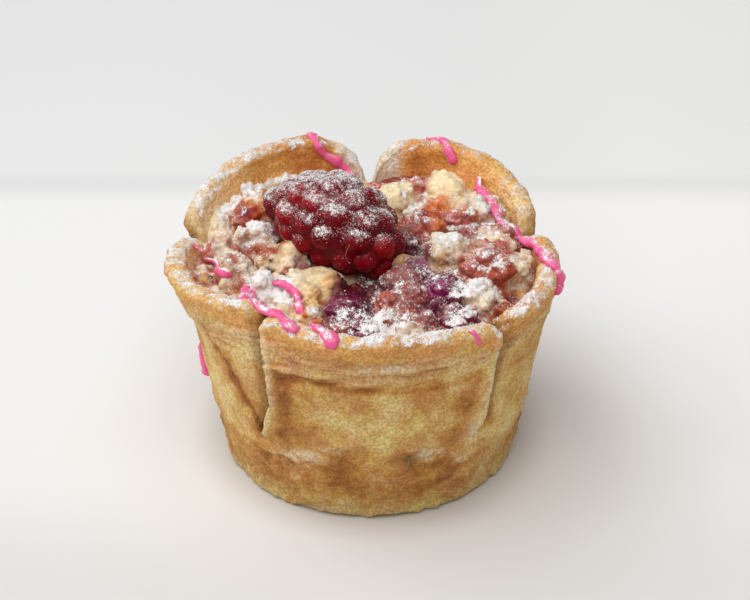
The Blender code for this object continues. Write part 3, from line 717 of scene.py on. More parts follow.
# The levels of noise and powder between which single grains and a thin haze of sugar appear
GRAINS_SHOW = (0.75, 0.82)
HAZE_SHOWS = (0.62, 0.94)
SUGAR_BUMP, SUGAR_BUMP_STRENGTH = 0.22, 0.7


def dusted(tree, shader, colour, fineness, bumps, haze_share=0.55):
    """Lays powdered sugar over a colour where the powder attribute says, and raises it a little."""
    powder = attribute(tree, "powder")
    fine = times(tree, grain(tree, fineness, 3.0), 0.6)
    coarse = times(tree, grain(tree, fineness * 2.6, 2.0), 0.4)
    level = math_node(tree, "ADD", fine, coarse)
    clump = ranged(tree, math_node(tree, "ADD", level, times(tree, powder, 0.40)), *GRAINS_SHOW)
    haze = ranged(tree, math_node(tree, "ADD", level, times(tree, powder, 0.44)), *HAZE_SHOWS)
    mask = math_node(tree, "MAXIMUM", clump, times(tree, haze, haze_share))
    mask = times(tree, mask, ranged(tree, powder, 0.0, 0.12))
    tree.links.new(mixed_colour(tree, mask, colour, SUGAR), shader.inputs["Base Color"])
    height = math_node(tree, "ADD", bumps, times(tree, mask, 0.6))
    inputs = {"Height": height, "Strength": SUGAR_BUMP_STRENGTH, "Distance": SUGAR_BUMP * MM}
    bump = add_node(tree, "ShaderNodeBump", inputs)
    tree.links.new(bump.outputs[0], shader.inputs["Normal"])
    return mask


# The pastry


def crust_grid():
    """The pastry's points, column by column, and what is known about each one.

    The rows of the second array are its azimuth in degrees, its depth below the crest, its height over the
    tin's edge, its distance from the nearest pleat, how much it is the edge of a flap and the slit beside
    one, and 1 outside the cup to 0 inside it.
    """
    outside = np.concatenate([
        np.ones(FOOT_ROWS + FILLET_ROWS + WALL_ROWS),
        np.linspace(1.0, 0.0, RIM_ROWS),
        np.zeros(INNER_ROWS + 2),
    ])
    foot = np.linspace(0.0, FOOT_RADIUS, FOOT_ROWS + 1)[1:]
    turn = np.linspace(0.0, math.pi / 2, FILLET_ROWS + 1)[1:]
    over = np.linspace(0.0, math.pi, RIM_ROWS + 2)[1:-1]
    points, about = [], []
    for column in columns(LOBE_COLUMNS):
        top_z = column.crest_z - RIM_ROUNDING
        wall_z = np.linspace(FOOT_FILLET, top_z, WALL_ROWS + 1)[1:]
        wall = outer_radius(column, wall_z)
        inner_z = np.linspace(top_z, column.fill_edge_z - HIDDEN_WALL, INNER_ROWS)
        inner_z = np.append(inner_z, [INNER_WALL_ROW_Z, FLOOR_THICKNESS])
        radius = np.concatenate([
            foot,
            FOOT_RADIUS + FOOT_FILLET * np.sin(turn),
            wall,
            mix(wall[-1], inner_radius(column, top_z), (1 - np.cos(over)) / 2),
            inner_radius(column, inner_z),
        ])
        z = np.concatenate([
            np.zeros(FOOT_ROWS),
            FOOT_FILLET * (1 - np.cos(turn)),
            wall_z,
            top_z + RIM_ROUNDING * np.sin(over),
            inner_z,
        ])
        azimuth = column_azimuth(column, z)
        sides = pleat_sides(column, z, radius)
        seam = np.minimum(sides[0][0], sides[1][0])
        lip = sum(bell(distance, 0.4, 0.7) * left for distance, way, _, left in sides if way > 0)
        slit = sum(slit_at(distance) * left for distance, way, _, left in sides if way < 0)
        azimuth = azimuth + seam_shift(column, z, sides) * outside / radius
        by_rim = 1 - smooth_step(1.0, 5.0, column.crest_z - z)
        for distance, way, _, left in sides:
            drop, reach = RIM_DROPS[way]
            z = z - drop * np.exp(-distance / reach) * left * by_rim
        points.append(at(azimuth, radius, z))
        deg = within_half_turn(np.degrees(azimuth))
        depth, over_edge = column.crest_z - z, z - column.tin_edge_z
        about.append([deg, depth, over_edge, seam, lip + 0 * z, slit + 0 * z, outside])
    return np.array(points), np.array(about).transpose(1, 0, 2)


def slit_at(distance):
    """How deep in the slit beside a flap, and in the strip of shade past it, each point is, from 1 to 0. It
    sets the painted shade there and keeps powder off.
    """
    return bell(distance, 0.9, 0.75) + 0.6 * bell(distance, 2.6, 1.0)


def seam_shift(column, z, sides):
    """Sideways shift near the pleats: the outer lobe's edge hangs over the one that tucks under it."""
    ragged = 1.0 + 0.7 * field(np.stack(np.broadcast_arrays(3.0 * column.lobe, 0.0, z), axis=-1), 3.2, 13)
    shift = 0.0
    for turn, (distance, way, _, left) in zip((-1, 1), sides):
        reach = SEAM_OVERHANG * ragged if way > 0 else SEAM_TUCK
        shift = shift + turn * reach * np.exp(-distance / SEAM_REACH) * left
    return shift


def grid_normals(points):
    across = np.roll(points, -1, axis=0) - np.roll(points, 1, axis=0)
    along = np.gradient(points, axis=1)
    normals = np.cross(across, along)
    return normals / np.maximum(np.linalg.norm(normals, axis=-1, keepdims=True), 1e-9)


def patches_at(patches, points, deg):
    """The sum of soft, ragged patches on the wall."""
    shift, lift = 1.3 * field(points, 4.0, 14), field(points, 3.0, 15)
    total = 0.0
    for patch in patches:
        across = radians(within_half_turn(deg - patch.deg)) * MEAN_RADIUS
        across = across + shift * min(1.0, patch.across / 2)
        up = points[..., 2] - patch.z + lift * min(1.0, patch.up / 2)
        total = total + patch.amount * np.exp(-((across / patch.across) ** 2 + (up / patch.up) ** 2))
    return total


def crease_at(crease, points, deg):
    """How near each point is to a crease, from 1 on it to 0."""
    spots = np.stack([radians(deg) * CREASED_RADIUS, points[..., 2]], axis=-1)
    spots = spots + 0.35 * np.stack([field(points, 2.2, 19), field(points, 2.2, 20)], axis=-1)
    route = np.array([(radians(azimuth) * CREASED_RADIUS, z) for azimuth, z in crease.route])
    nearest = np.full(deg.shape, 1e9)
    for a, b in zip(route, route[1:]):
        share = np.clip(((spots - a) @ (b - a)) / ((b - a) @ (b - a)), 0.0, 1.0)
        nearest = np.minimum(nearest, np.linalg.norm(spots - a - share[..., None] * (b - a), axis=-1))
    return bell(nearest, 0.0, crease.width)


def flake_line(points, deg):
    """Height at which the pale panel of the wall ends in flakes."""
    round_the_cup = 13.5 + 3.0 * field(points, 11.0, 5)
    in_front = smooth_step(-48, -38, deg) * (1 - smooth_step(35, 45, deg))
    line = mix(round_the_cup, table_at(FLAKE_LINE, deg), in_front)
    return line + noises(points, ((1.2, 2.6, 9), (0.5, 1.1, 16)))


def dough_layers(points):
    """The thin layers of dough that show in the band under the rim."""
    return field(points, 1.0, 4, (7.0, 7.0, 0.9)) + 0.7 * field(points, 1.0, 6, (4.0, 4.0, 0.5))


def layered_band(over_edge, depth, top):
    """How much each point lies in the band of layers, from the tin's edge up to a depth below the crest."""
    return smooth_step(0.3, 1.5, over_edge) * smooth_step(top, top + 2.0, depth)


def creases_at(points, deg, amounts):
    """The sum of the creases, each with an amount of its own."""
    return sum(amount * crease_at(crease, points, deg) for crease, amount in zip(CREASES, amounts))


def scaled_off(points):
    """Where flakes have lifted along the flake line, from 0 to 1."""
    return smooth_step(-0.1, 0.35, field(points, 3.4, 18))


def pastry_relief(points, about):
    """Height in millimetres of the pastry's fine relief."""
    deg, depth, over_edge, _, _, _, outside = about
    z = points[..., 2]
    grain_relief = noises(points, PASTRY_GRAIN)
    in_layers = layered_band(over_edge, depth, 2.0) * outside
    under_edge = -0.3 + 0.5 * field(points, 3.0, 17)
    ledge = 0.30 * bell(over_edge, 1.0, 0.9) - 0.45 * bell(over_edge, under_edge, 0.45)
    ledge = ledge * table_at(TIN_EDGE_SHARES, deg) * 0.6
    creases = -creases_at(points, deg, [crease.depth for crease in CREASES])
    rim = noises(points, RAGGED_RIM) * (1 - smooth_step(1.0, 4.5, depth))
    line = flake_line(points, deg)
    flakes = (0.30 * bell(z, line, 0.5) - 0.26 * bell(z, line - 1.1, 0.6)) * scaled_off(points)
    blistered = noises(points, BLISTERS) * (1 - smooth_step(-1.0, 2.5, z - line))
    foot = 0.42 * field(points, 1.5, 12) * bell(z, 0.9, 1.0)
    on_wall = 0.40 * dough_layers(points) * in_layers + ledge + creases + flakes + blistered + foot
    relief = grain_relief + rim + on_wall * outside
    relief += (0.28 * patches_at(FLAKES, points, deg) - patches_at(PITS, points, deg)) * outside
    return relief * smooth_step(-0.1, 0.6, z)


def baked(points, about, line):
    """How far the pastry is baked at every point, from 0 to 1, with painted shade beside the seams added as
    deeper bake.
    """
    deg, depth, over_edge, seam, lip, _, outside = about
    z = points[..., 2]
    mottled = noises(points, MOTTLED)
    bake = 0.40 + mottled + patches_at(BROWNED, points, deg)
    bake += creases_at(points, deg, [crease.brown for crease in CREASES])
    under_edge = bell(over_edge, -0.6 + 0.9 * field(points, 5.0, 24), 0.8)
    bake += 0.30 * table_at(TIN_EDGE_SHARES, deg) * under_edge * smooth_step(-0.4, 0.3, mottled + 0.2)
    # Painted shade: a strip beside each seam is browned where the flap's edge would shade it
    shade_beside_seam = bell(seam, 3.0, 1.2)
    bake += 0.20 * shade_beside_seam * smooth_step(16.0, 20.0, z) * (1 - smooth_step(-1.0, 1.0, over_edge))
    bake -= 0.34 * lip
    bake += 0.26 * (1 - smooth_step(-2.0, 1.5, z - line)) * smooth_step(2.5, 6.0, z)
    bake -= 0.30 * bell(z, 0.6, 1.6)
    bake -= 0.42 * dough_layers(points) * layered_band(over_edge, depth, 3.0)
    inner = 0.44 + 0.7 * mottled
    for amount, middle, width in INNER_BAKE:
        inner = inner + amount * bell(deg, middle, width)
    return np.clip(mix(inner, bake, outside), 0.0, 1.0)


def floured(points, about, line):
    """How much flour shows on the pastry at every point, from 0 to 1."""
    deg, depth, over_edge, _, lip, _, outside = about
    z = points[..., 2]
    floury = 0.12 * layered_band(over_edge, depth, 3.5)
    floury = floury + patches_at(FLAKES, points, deg) + 0.45 * lip
    floury = floury + 0.6 * bell(z, 0.5, 0.7) * smooth_step(0.05, 0.35, field(points, 1.8, 34))
    floury = floury + 0.45 * bell(z, line, 0.7) * scaled_off(points)
    floury = np.clip(floury * outside * (1.0 + 1.2 * field(points, 1.1, 26)), 0.0, 0.85)
    pale_inside = (bell(deg, -108.0, 15.0) + 0.7 * bell(deg, 110.0, 10.0)) * (1 - outside)
    return np.maximum(floury, 0.65 * pale_inside)


def by_back_gap(deg, right, left):
    """How near a point is to the gap at the back, from 0 to 1 between the two angles on either side."""
    return smooth_step(*right, deg) + smooth_step(*left, -deg)


def pastry_colour(points, about):
    """Colour of the bake at every point of the pastry, with painted shade in the slits, the pits and
    towards the foot, and painted backlight by the gap at the back.
    """
    deg, depth, over_edge, _, _, slit, outside = about
    z = points[..., 2]
    line = flake_line(points, deg)
    bake = baked(points, about, line)
    colour = np.stack([np.interp(bake, BAKE_STOPS, channel) for channel in zip(*PASTRY)], axis=-1)
    band = 1 - smooth_step(3.0, 5.0, depth + 1.5 * field(points, 3.5, 27))
    band = smooth_step(0.6, 1.6, depth) * band
    golden = np.clip(band * (0.75 + 0.7 * field(points, 2.2, 30)) * outside, 0.0, 0.9)
    colour = mix(colour, np.array(GOLDEN), golden[..., None])
    warm = noises(points, ((0.9, 5.0, 28), (0.6, 2.0, 29))) + 0.25 * band
    warm = warm + 0.35 * layered_band(over_edge, depth, 3.0)
    colour = colour * (1.0 + warm[..., None] * np.array([0.0, -0.10, 0.14]))
    colour = colour * mix(np.array(INSIDE_TONE), np.ones(3), outside[..., None])
    colour = mix(colour, np.array(FLOUR), floured(points, about, line)[..., None])
    # Painted backlight: the edges by the gap at the back are paled towards near white
    by_gap = by_back_gap(deg, (166.0, 172.0), (167.0, 172.0)) * (1 - smooth_step(8.0, 12.0, depth))
    by_gap = by_gap * (1.0 - 0.75 * outside * smooth_step(0.8, 2.4, depth))
    colour = mix(colour, np.array(BACKLIT_EDGE_COLOUR), 0.88 * by_gap[..., None])
    # Painted shade: the outside darkens towards the foot
    painted_low_shade = 1.0 - 0.22 * (1 - smooth_step(2.0, 14.0, z)) * outside
    # Painted shade in the slits beside the flaps and in the strip past each lip
    painted_slit_shade = np.clip(0.8 * slit * outside, 0.0, 0.9)
    colour = mix(colour * painted_low_shade[..., None], np.array(SLIT_SHADE_COLOUR), painted_slit_shade[..., None])
    # Painted shade in the pits, which the relief also sinks
    pit_shade = np.clip(1.3 * patches_at(PITS, points, deg) * outside, 0.0, 0.9)
    return mix(colour, np.array(PIT_SHADE_COLOUR), pit_shade[..., None])


def pastry_powder(points, normals, about):
    """How much powdered sugar lies on every point of the pastry."""
    deg, depth, over_edge, _, _, slit, outside = about
    in_front = 0.45 * bell(deg, 12.0, 16.0) * bell(outside, 0.25, 0.28)
    by_gap = by_back_gap(deg, (165.0, 172.0), (168.0, 173.0))
    near_rim = 1 - smooth_step(2.5 + 3.5 * by_gap, 6.5 + 5.0 * by_gap, depth)
    up = np.maximum(smooth_step(0.20, 0.80, normals[..., 2]), 0.6 * by_gap * (1.0 - 0.8 * outside))
    up = up * (1.0 - 0.8 * np.clip(slit, 0.0, 1.0))
    amount = table_at(RIM_POWDER, deg) - 0.06 + in_front + 0.10 * by_gap + noises(points, RIM_CLUMPS)
    return np.clip(amount * up * near_rim + 0.06 * smooth_step(-1.0, 4.0, over_edge), 0.0, 1.0)


def crust_material():
    material, tree, shader = new_material(
        "crust",
        Roughness=0.75,
        IOR=1.4,
        Specular_IOR_Level=0.25,
        Subsurface_Weight=0.12,
        Subsurface_Radius=(1.0, 0.45, 0.2),
        Subsurface_Scale=0.8 * MM,
    )
    tint = attribute(tree, "tint", "Color")
    flecks = ranged(tree, grain(tree, 0.5, 5.0), 0.40, 0.60)
    spots = ranged(tree, grain(tree, 0.30, 2.0), 0.58, 0.74)
    colour = mixed_colour(tree, flecks, toned(tree, tint, (0.76, 0.65, 0.50)), tint)
    colour = mixed_colour(tree, times(tree, spots, 0.45), colour, FLOUR)
    bumps = math_node(tree, "ADD", times(tree, grain(tree, 0.5, 4.0), 1.6), spots)
    dusted(tree, shader, colour, 0.26, bumps)
    return material


def make_crust():
    points, about = crust_grid()
    count, rows = points.shape[:2]
    colour = pastry_colour(points, about)
    points = points + grid_normals(points) * pastry_relief(points, about)[..., None]
    points[..., 2] = np.maximum(points[..., 2], 0.0)
    powder = pastry_powder(points, grid_normals(points), about)
    ends = np.array([[0.0, 0.0, 0.0], [0.0, 0.0, FLOOR_THICKNESS]])
    crust = mesh_object("pastry", np.concatenate([points.reshape(-1, 3), ends]), grid_faces(count, rows))
    store(crust, "tint", np.concatenate([colour.reshape(-1, 3), [PASTRY[1], PASTRY[1]]]))
    store(crust, "powder", np.concatenate([powder.reshape(-1), [0.0, 0.0]]))
    crust.data.materials.append(crust_material())
    return crust


# The filling


def fill_height(x, y, edge_share, edge_z):
    """Height of the filling's own surface, before lumps: a low dome with a few broad swells."""
    height = mix(FILL_CENTRE_Z, edge_z, edge_share**FILL_DOME_CURVE)
    inside = 1.0 - smooth_step(0.75, 1.0, edge_share)
    for swell in SWELLS:
        far = (x - swell.x) ** 2 + (y - swell.y) ** 2
        height = height + swell.height * np.exp(-far / swell.width**2) * inside
    depth, size = FILL_RIPPLE
    flat = np.stack(np.broadcast_arrays(x, y, 0.0), axis=-1)
    return height + depth * field(flat, size) * inside


def fill_body(edges):
    """(points, faces) of the filling's own top, down to a flat underside that the pastry hides."""
    shares = np.linspace(1.0, 0.05, FILL_RINGS)
    sections = []
    for edge in edges:
        x, y = edge[0] * shares, edge[1] * shares
        z = fill_height(x, y, shares, edge[2])
        below = [[edge[0] * share, edge[1] * share, FILL_UNDERSIDE_Z] for share in (0.1, 0.5, 0.97)]
        sections.append(np.concatenate([np.array(below), np.stack([x, y, z], axis=-1)]))
    ends = np.array([[0.0, 0.0, FILL_UNDERSIDE_Z], [0.0, 0.0, fill_height(0.0, 0.0, 0.0, 0.0)]])
    return np.concatenate([np.concatenate(sections), ends]), grid_faces(len(edges), len(sections[0]))


def berry_directions():
    """(along, across, upward) unit directions of the berry."""
    along = (Vector(BERRY_WIDE_END) - Vector(BERRY_NARROW_END)).normalized()
    across = along.cross(Vector((0, 0, 1))).normalized()
    return along, across, across.cross(along)


def berry_middle(share):
    start, end = Vector(BERRY_NARROW_END), Vector(BERRY_WIDE_END)
    return start.lerp(end, share) + Vector((0, 0, BERRY_ARCH * 4 * share * (1 - share)))


def berry_point(share, turn, out=0.0):
    """A point of the berry's skin, or off it by a distance, at a turn round its axis."""
    shares, radii = zip(*BERRY_OUTLINE)
    length = (Vector(BERRY_WIDE_END) - Vector(BERRY_NARROW_END)).length
    step = 0.01
    low, high = max(0.0, share - step), min(1.0, share + step)
    run, rise = (high - low) * length, np.interp(high, shares, radii) - np.interp(low, shares, radii)
    slope = math.hypot(run, rise)
    along, across, upward = berry_directions()
    outward = across * math.cos(turn) + upward * math.sin(turn)
    skin = berry_middle(share) + outward * float(np.interp(share, shares, radii))
    return skin + (outward * run - along * rise) * (out / slope)


CRUMBLE_BEFORE_X = -7.0
BERRIES_BEFORE_Y = -9.0


def kind_at(x, y, rng):
    """What a small lump at a place is likely to be made of."""
    if x < CRUMBLE_BEFORE_X:
        return rng.choice(("crumble", "crumble", "toasted", "cream", "orange"))
    if y < BERRIES_BEFORE_Y:
        return rng.choice(("purple", "dark", "red", "pink", "crumble"))
    return rng.choice(("red", "pink", "orange", "crumble", "purple"))


def all_lumps():
    """The lumps listed, then the small ones scattered between them as in the solids."""
    rng, kinds = random.Random(LUMP_SEED), random.Random(KIND_SEED)
    axis = [berry_middle(k / 10) for k in range(11)]
    lumps = list(LUMPS)
    while len(lumps) < len(LUMPS) + SMALL_LUMPS:
        angle, reach = rng.uniform(0, 2 * math.pi), SMALL_LUMP_REACH * math.sqrt(rng.random())
        x, y = reach * math.sin(angle), -reach * math.cos(angle)
        size = rng.uniform(*SMALL_LUMP_SIZES)
        clear = all(math.hypot(x - o.x, y - o.y) > LUMP_SPACING * (size + o.size) for o in lumps)
        by_berry = any(math.hypot(x - p.x, y - p.y) < LUMP_FROM_BERRY_AXIS for p in axis)
        if clear and not by_berry:
            lumps.append(Lump(x, y, size, rng.uniform(*SMALL_LUMP_HEIGHTS), kind_at(x, y, kinds)))
    return lumps


Placed = namedtuple("Placed", "middle size tall kind")


def placed_lump(spec, edges):
    """The lump at its height in the filling, moved clear of the pastry where it has to be."""
    spot = np.array([spec.x, spec.y])
    outline = edges[:, :2] / np.linalg.norm(edges[:, :2], axis=1, keepdims=True)
    edge = edges[np.argmax(outline @ spot)]
    reach = math.hypot(edge[0], edge[1])
    spot = spot * min(1.0, (reach - LUMP_FROM_EDGE * spec.size) / math.hypot(*spot))
    z = float(fill_height(spot[0], spot[1], math.hypot(*spot) / reach, edge[2]))
    middle = np.array([spot[0], spot[1], z + spec.size * spec.tall * LUMP_RISE])
    return Placed(middle, spec.size, spec.tall, spec.kind)


def lump_shape(lump, seed, subdivisions, unevenness):
    directions, faces = ball(subdivisions)
    spots = directions * 1.7 + np.array([seed, 0.0, 0.0])
    swell = 1.0 + unevenness * np.array([noise.noise(spot) for spot in spots.tolist()])
    stretched = directions * np.array([1.0, 1.0, lump.tall])
    return lump.middle + stretched * (lump.size * swell)[:, None], faces


ABOVE_ALL_Z = 80.0
# Ridges of cream, as points seen from above and a half width
Ridge = namedtuple("Ridge", "half_width route")
RIDGES = (
    Ridge(1.3, ((-29.2, 12.6), (-26.6, 17.0), (-22.8, 21.0), (-18.6, 24.4), (-15.0, 26.6))),
    Ridge(1.2, ((-26.2, 5.0), (-23.4, 4.2), (-20.6, 3.2), (-18.0, 2.2))),
)


def ridge_lumps(tree):
    """Short runs of overlapping lumps along each ridge."""
    found = []
    for number, ridge in enumerate(RIDGES):
        for k, point in enumerate(smooth_route([Vector((x, y, ABOVE_ALL_Z)) for x, y in ridge.route], 1.1)):
            hit = tree.ray_cast(point, Vector((0, 0, -1)))[0]
            size = ridge.half_width * (1.0 + 0.25 * math.sin(2.3 * k + number))
            middle = np.array(hit) + np.array([0.0, 0.0, 0.35 * size])
            found.append(Placed(middle, size, 0.8, "sugared"))
    return found


# Crumbs and bits of fruit that show in the photograph, as (x, y, size)
SEEN_CRUMBS = {
    "yellow": (
        (5.0, 15.1, 2.1), (12.6, 19.8, 1.2), (15.3, 19.2, 2.1), (-23.1, 13.3, 1.7), (-29.0, 11.4, 1.2),
        (-14.3, 2.2, 1.4),
    ),
    "cream": (
        (6.9, 18.9, 1.0), (17.8, 19.8, 1.4), (10.1, 14.4, 1.0), (17.1, 11.9, 1.4), (18.8, 8.1, 1.2),
        (27.9, -5.0, 1.6), (26.6, -9.2, 1.4), (20.9, -17.5, 1.4), (-26.4, 15.9, 1.0), (-27.1, 1.6, 1.6),
        (-28.3, -0.2, 1.2), (-15.0, -12.4, 1.4), (-13.8, -10.6, 1.0),
    ),
    "sugared": (
        (9.3, 22.7, 1.2), (7.9, 9.4, 1.2), (20.8, 10.1, 1.4), (21.9, 8.9, 1.2), (25.0, 16.4, 1.0),
        (20.3, 1.4, 1.2), (19.2, -15.2, 1.4), (9.2, -4.6, 1.4), (14.1, -20.2, 1.2), (-22.5, 9.3, 1.4),
        (-19.0, 4.5, 1.2), (-30.4, 6.0, 1.2), (-27.9, -11.0, 1.0), (-19.0, -13.7, 1.7),
        (-15.2, -8.4, 1.4), (-10.0, -22.2, 1.2),
    ),
    "crumble": (
        (22.4, -0.2, 1.4), (-25.0, -0.8, 1.0), (-19.5, -5.6, 0.9), (-17.2, -6.5, 1.0),
        (-15.2, -7.1, 0.9), (-25.4, -9.9, 1.2), (-22.7, -9.4, 1.2), (-30.4, -3.4, 1.0),
    ),
    "toasted": (
        (23.6, 18.8, 1.0), (25.0, -0.5, 1.4), (29.3, -0.4, 1.0), (6.2, -6.6, 1.6), (26.9, -12.1, 1.2),
        (-29.4, -6.6, 1.0), (-23.2, -11.6, 1.2),
    ),
    "custard": (
        (10.6, 3.7, 1.4), (-14.4, -4.4, 2.0), (-14.3, -6.2, 1.5), (-6.6, -13.8, 1.8),
        (-12.6, -15.2, 2.0), (-10.2, -16.8, 1.6),
    ),
    "orange": (
        (14.3, 12.4, 1.4), (11.6, 16.4, 1.2), (11.9, 5.4, 1.7), (23.7, -9.0, 1.4), (23.9, -10.9, 1.9),
        (-21.5, 9.9, 1.6), (-24.7, 10.7, 1.2), (-23.0, 2.1, 1.2), (-19.8, 1.0, 1.4), (-25.2, -8.1, 1.2),
    ),
    "red": ((18.3, 6.5, 1.6), (18.1, -8.7, 1.4), (5.7, -19.5, 1.4), (23.6, -18.6, 1.4)),
    "pink": (
        (8.6, 5.1, 1.4), (20.9, -8.3, 1.6), (7.5, -16.4, 1.6), (2.8, -17.2, 1.4), (2.7, -22.8, 1.2),
        (-11.8, -19.6, 1.4),
    ),
    "brown": ((3.7, -12.0, 1.4), (0.1, -12.0, 1.2)),
    "purple": (
        (11.4, -8.2, 1.2), (14.6, -15.2, 1.4), (9.7, -22.8, 1.4), (16.9, -21.8, 1.4),
        (-1.6, -22.3, 1.2), (-4.3, -19.3, 1.4), (-26.8, 12.4, 1.2), (-29.6, -0.6, 1.2),
    ),
    "magenta": ((12.5, -14.6, 1.6),),
    "dark": ((6.6, 4.7, 1.2), (-2.4, -13.4, 1.4)),
}
CRUMBS = 170
CRUMB_SEED = 3
CRUMB_SIZES = (0.45, 1.05)
CRUMB_REACH = 28.5
CRUMB_UNEVENNESS = 0.42
SEEN_CRUMB_SWELL = 1.15
# Most of the loose crumbs lie left of this, and the shares of them that stay on either side
CRUMBLY_BEFORE_X, CRUMBS_LEFT, CRUMBS_RIGHT = -5.0, 0.9, 0.5
# The share of the loose crumbs on a pale lump that is left out; the others take its kind
PALE_LUMP_KINDS, KEPT_OFF_PALE = ("crumble", "yellow", "cream"), 0.7


def on_top(tree, x, y, size, sunk, tall, kind):
    """A lump laid on what a ray from above meets, sunk into it by a share of its size."""
    hit = tree.ray_cast(Vector((x, y, ABOVE_ALL_Z)), Vector((0, 0, -1)))[0]
    return Placed(np.array(hit) + np.array([0.0, 0.0, (tall - sunk) * size]), size, tall, kind)


def crumbs(tree, lumps):
    """The crumbs that are seen, then loose ones between them, most of them on the left, off the custard."""
    found = []
    for kind, spots in SEEN_CRUMBS.items():
        found += [on_top(tree, x, y, SEEN_CRUMB_SWELL * size, 1.0, 0.85, kind) for x, y, size in spots]
    seen = found + [lump for lump in lumps if lump.kind == "custard"]
    wanted = len(found) + CRUMBS
    rng = random.Random(CRUMB_SEED)
    while len(found) < wanted:
        angle, reach = rng.uniform(0, 2 * math.pi), CRUMB_REACH * math.sqrt(rng.random())
        x, y = reach * math.sin(angle), -reach * math.cos(angle)
        size = mix(*CRUMB_SIZES, rng.random() ** 2.0)
        covered = any(math.hypot(x - o.middle[0], y - o.middle[1]) < 0.85 * o.size for o in seen)
        if covered or rng.random() > (CRUMBS_LEFT if x < CRUMBLY_BEFORE_X else CRUMBS_RIGHT):
            continue
        under = [o.kind for o in lumps if math.hypot(x - o.middle[0], y - o.middle[1]) < 0.9 * o.size]
        kind = kind_at(x, y, rng)
        if under and under[0] in PALE_LUMP_KINDS:
            if rng.random() < KEPT_OFF_PALE:
                continue
            kind = under[0]
        found.append(on_top(tree, x, y, size, 0.6, rng.uniform(0.6, 1.0), kind))
    return found


# (x, y, reach, amount): where the sugar lies thickest on the filling
DRIFTS = (
    (4.0, -25.2, 3.4, 0.60), (14.0, -23.6, 3.4, 0.50), (12.3, -21.4, 1.6, -0.20),
    (16.0, -16.8, 1.8, 0.60), (5.4, -19.0, 2.0, -0.20), (-3.4, -15.8, 2.6, -0.45),
    (18.2, 3.2, 2.2, -0.50), (21.0, -9.4, 2.4, 0.25), (13.2, 11.6, 2.0, -0.30), (0.5, -25.5, 2.6, 0.45),
    (17.8, -21.2, 1.8, 0.35), (-16.8, 3.8, 1.8, -0.35), (-5.0, -24.0, 3.5, 0.35),
    (-16.0, -15.0, 4.5, 0.50), (12.0, -9.0, 4.5, 0.22), (19.0, -15.0, 4.0, 0.50),
    (24.0, -12.0, 4.0, 0.10), (-20.0, 4.8, 4.5, 0.40), (-21.2, 3.4, 2.0, 0.40),
    (-22.4, 7.2, 2.2, -0.60), (-19.5, -16.0, 2.4, 0.60), (-15.8, -16.6, 2.2, 0.60),
    (-25.0, 16.0, 4.0, 0.55), (-24.0, -4.0, 4.0, 0.30), (20.0, 5.0, 5.0, 0.35), (14.0, -1.0, 3.5, 0.20),
    (24.0, 16.0, 5.0, 0.40), (10.0, 12.0, 5.0, 0.20), (-9.0, -13.0, 5.0, -0.40),
    (-27.5, 15.5, 2.2, 0.45), (-22.5, 21.0, 2.4, 0.55), (-17.0, 25.5, 2.4, 0.50),
    (14.6, -2.6, 2.6, 0.45),
)
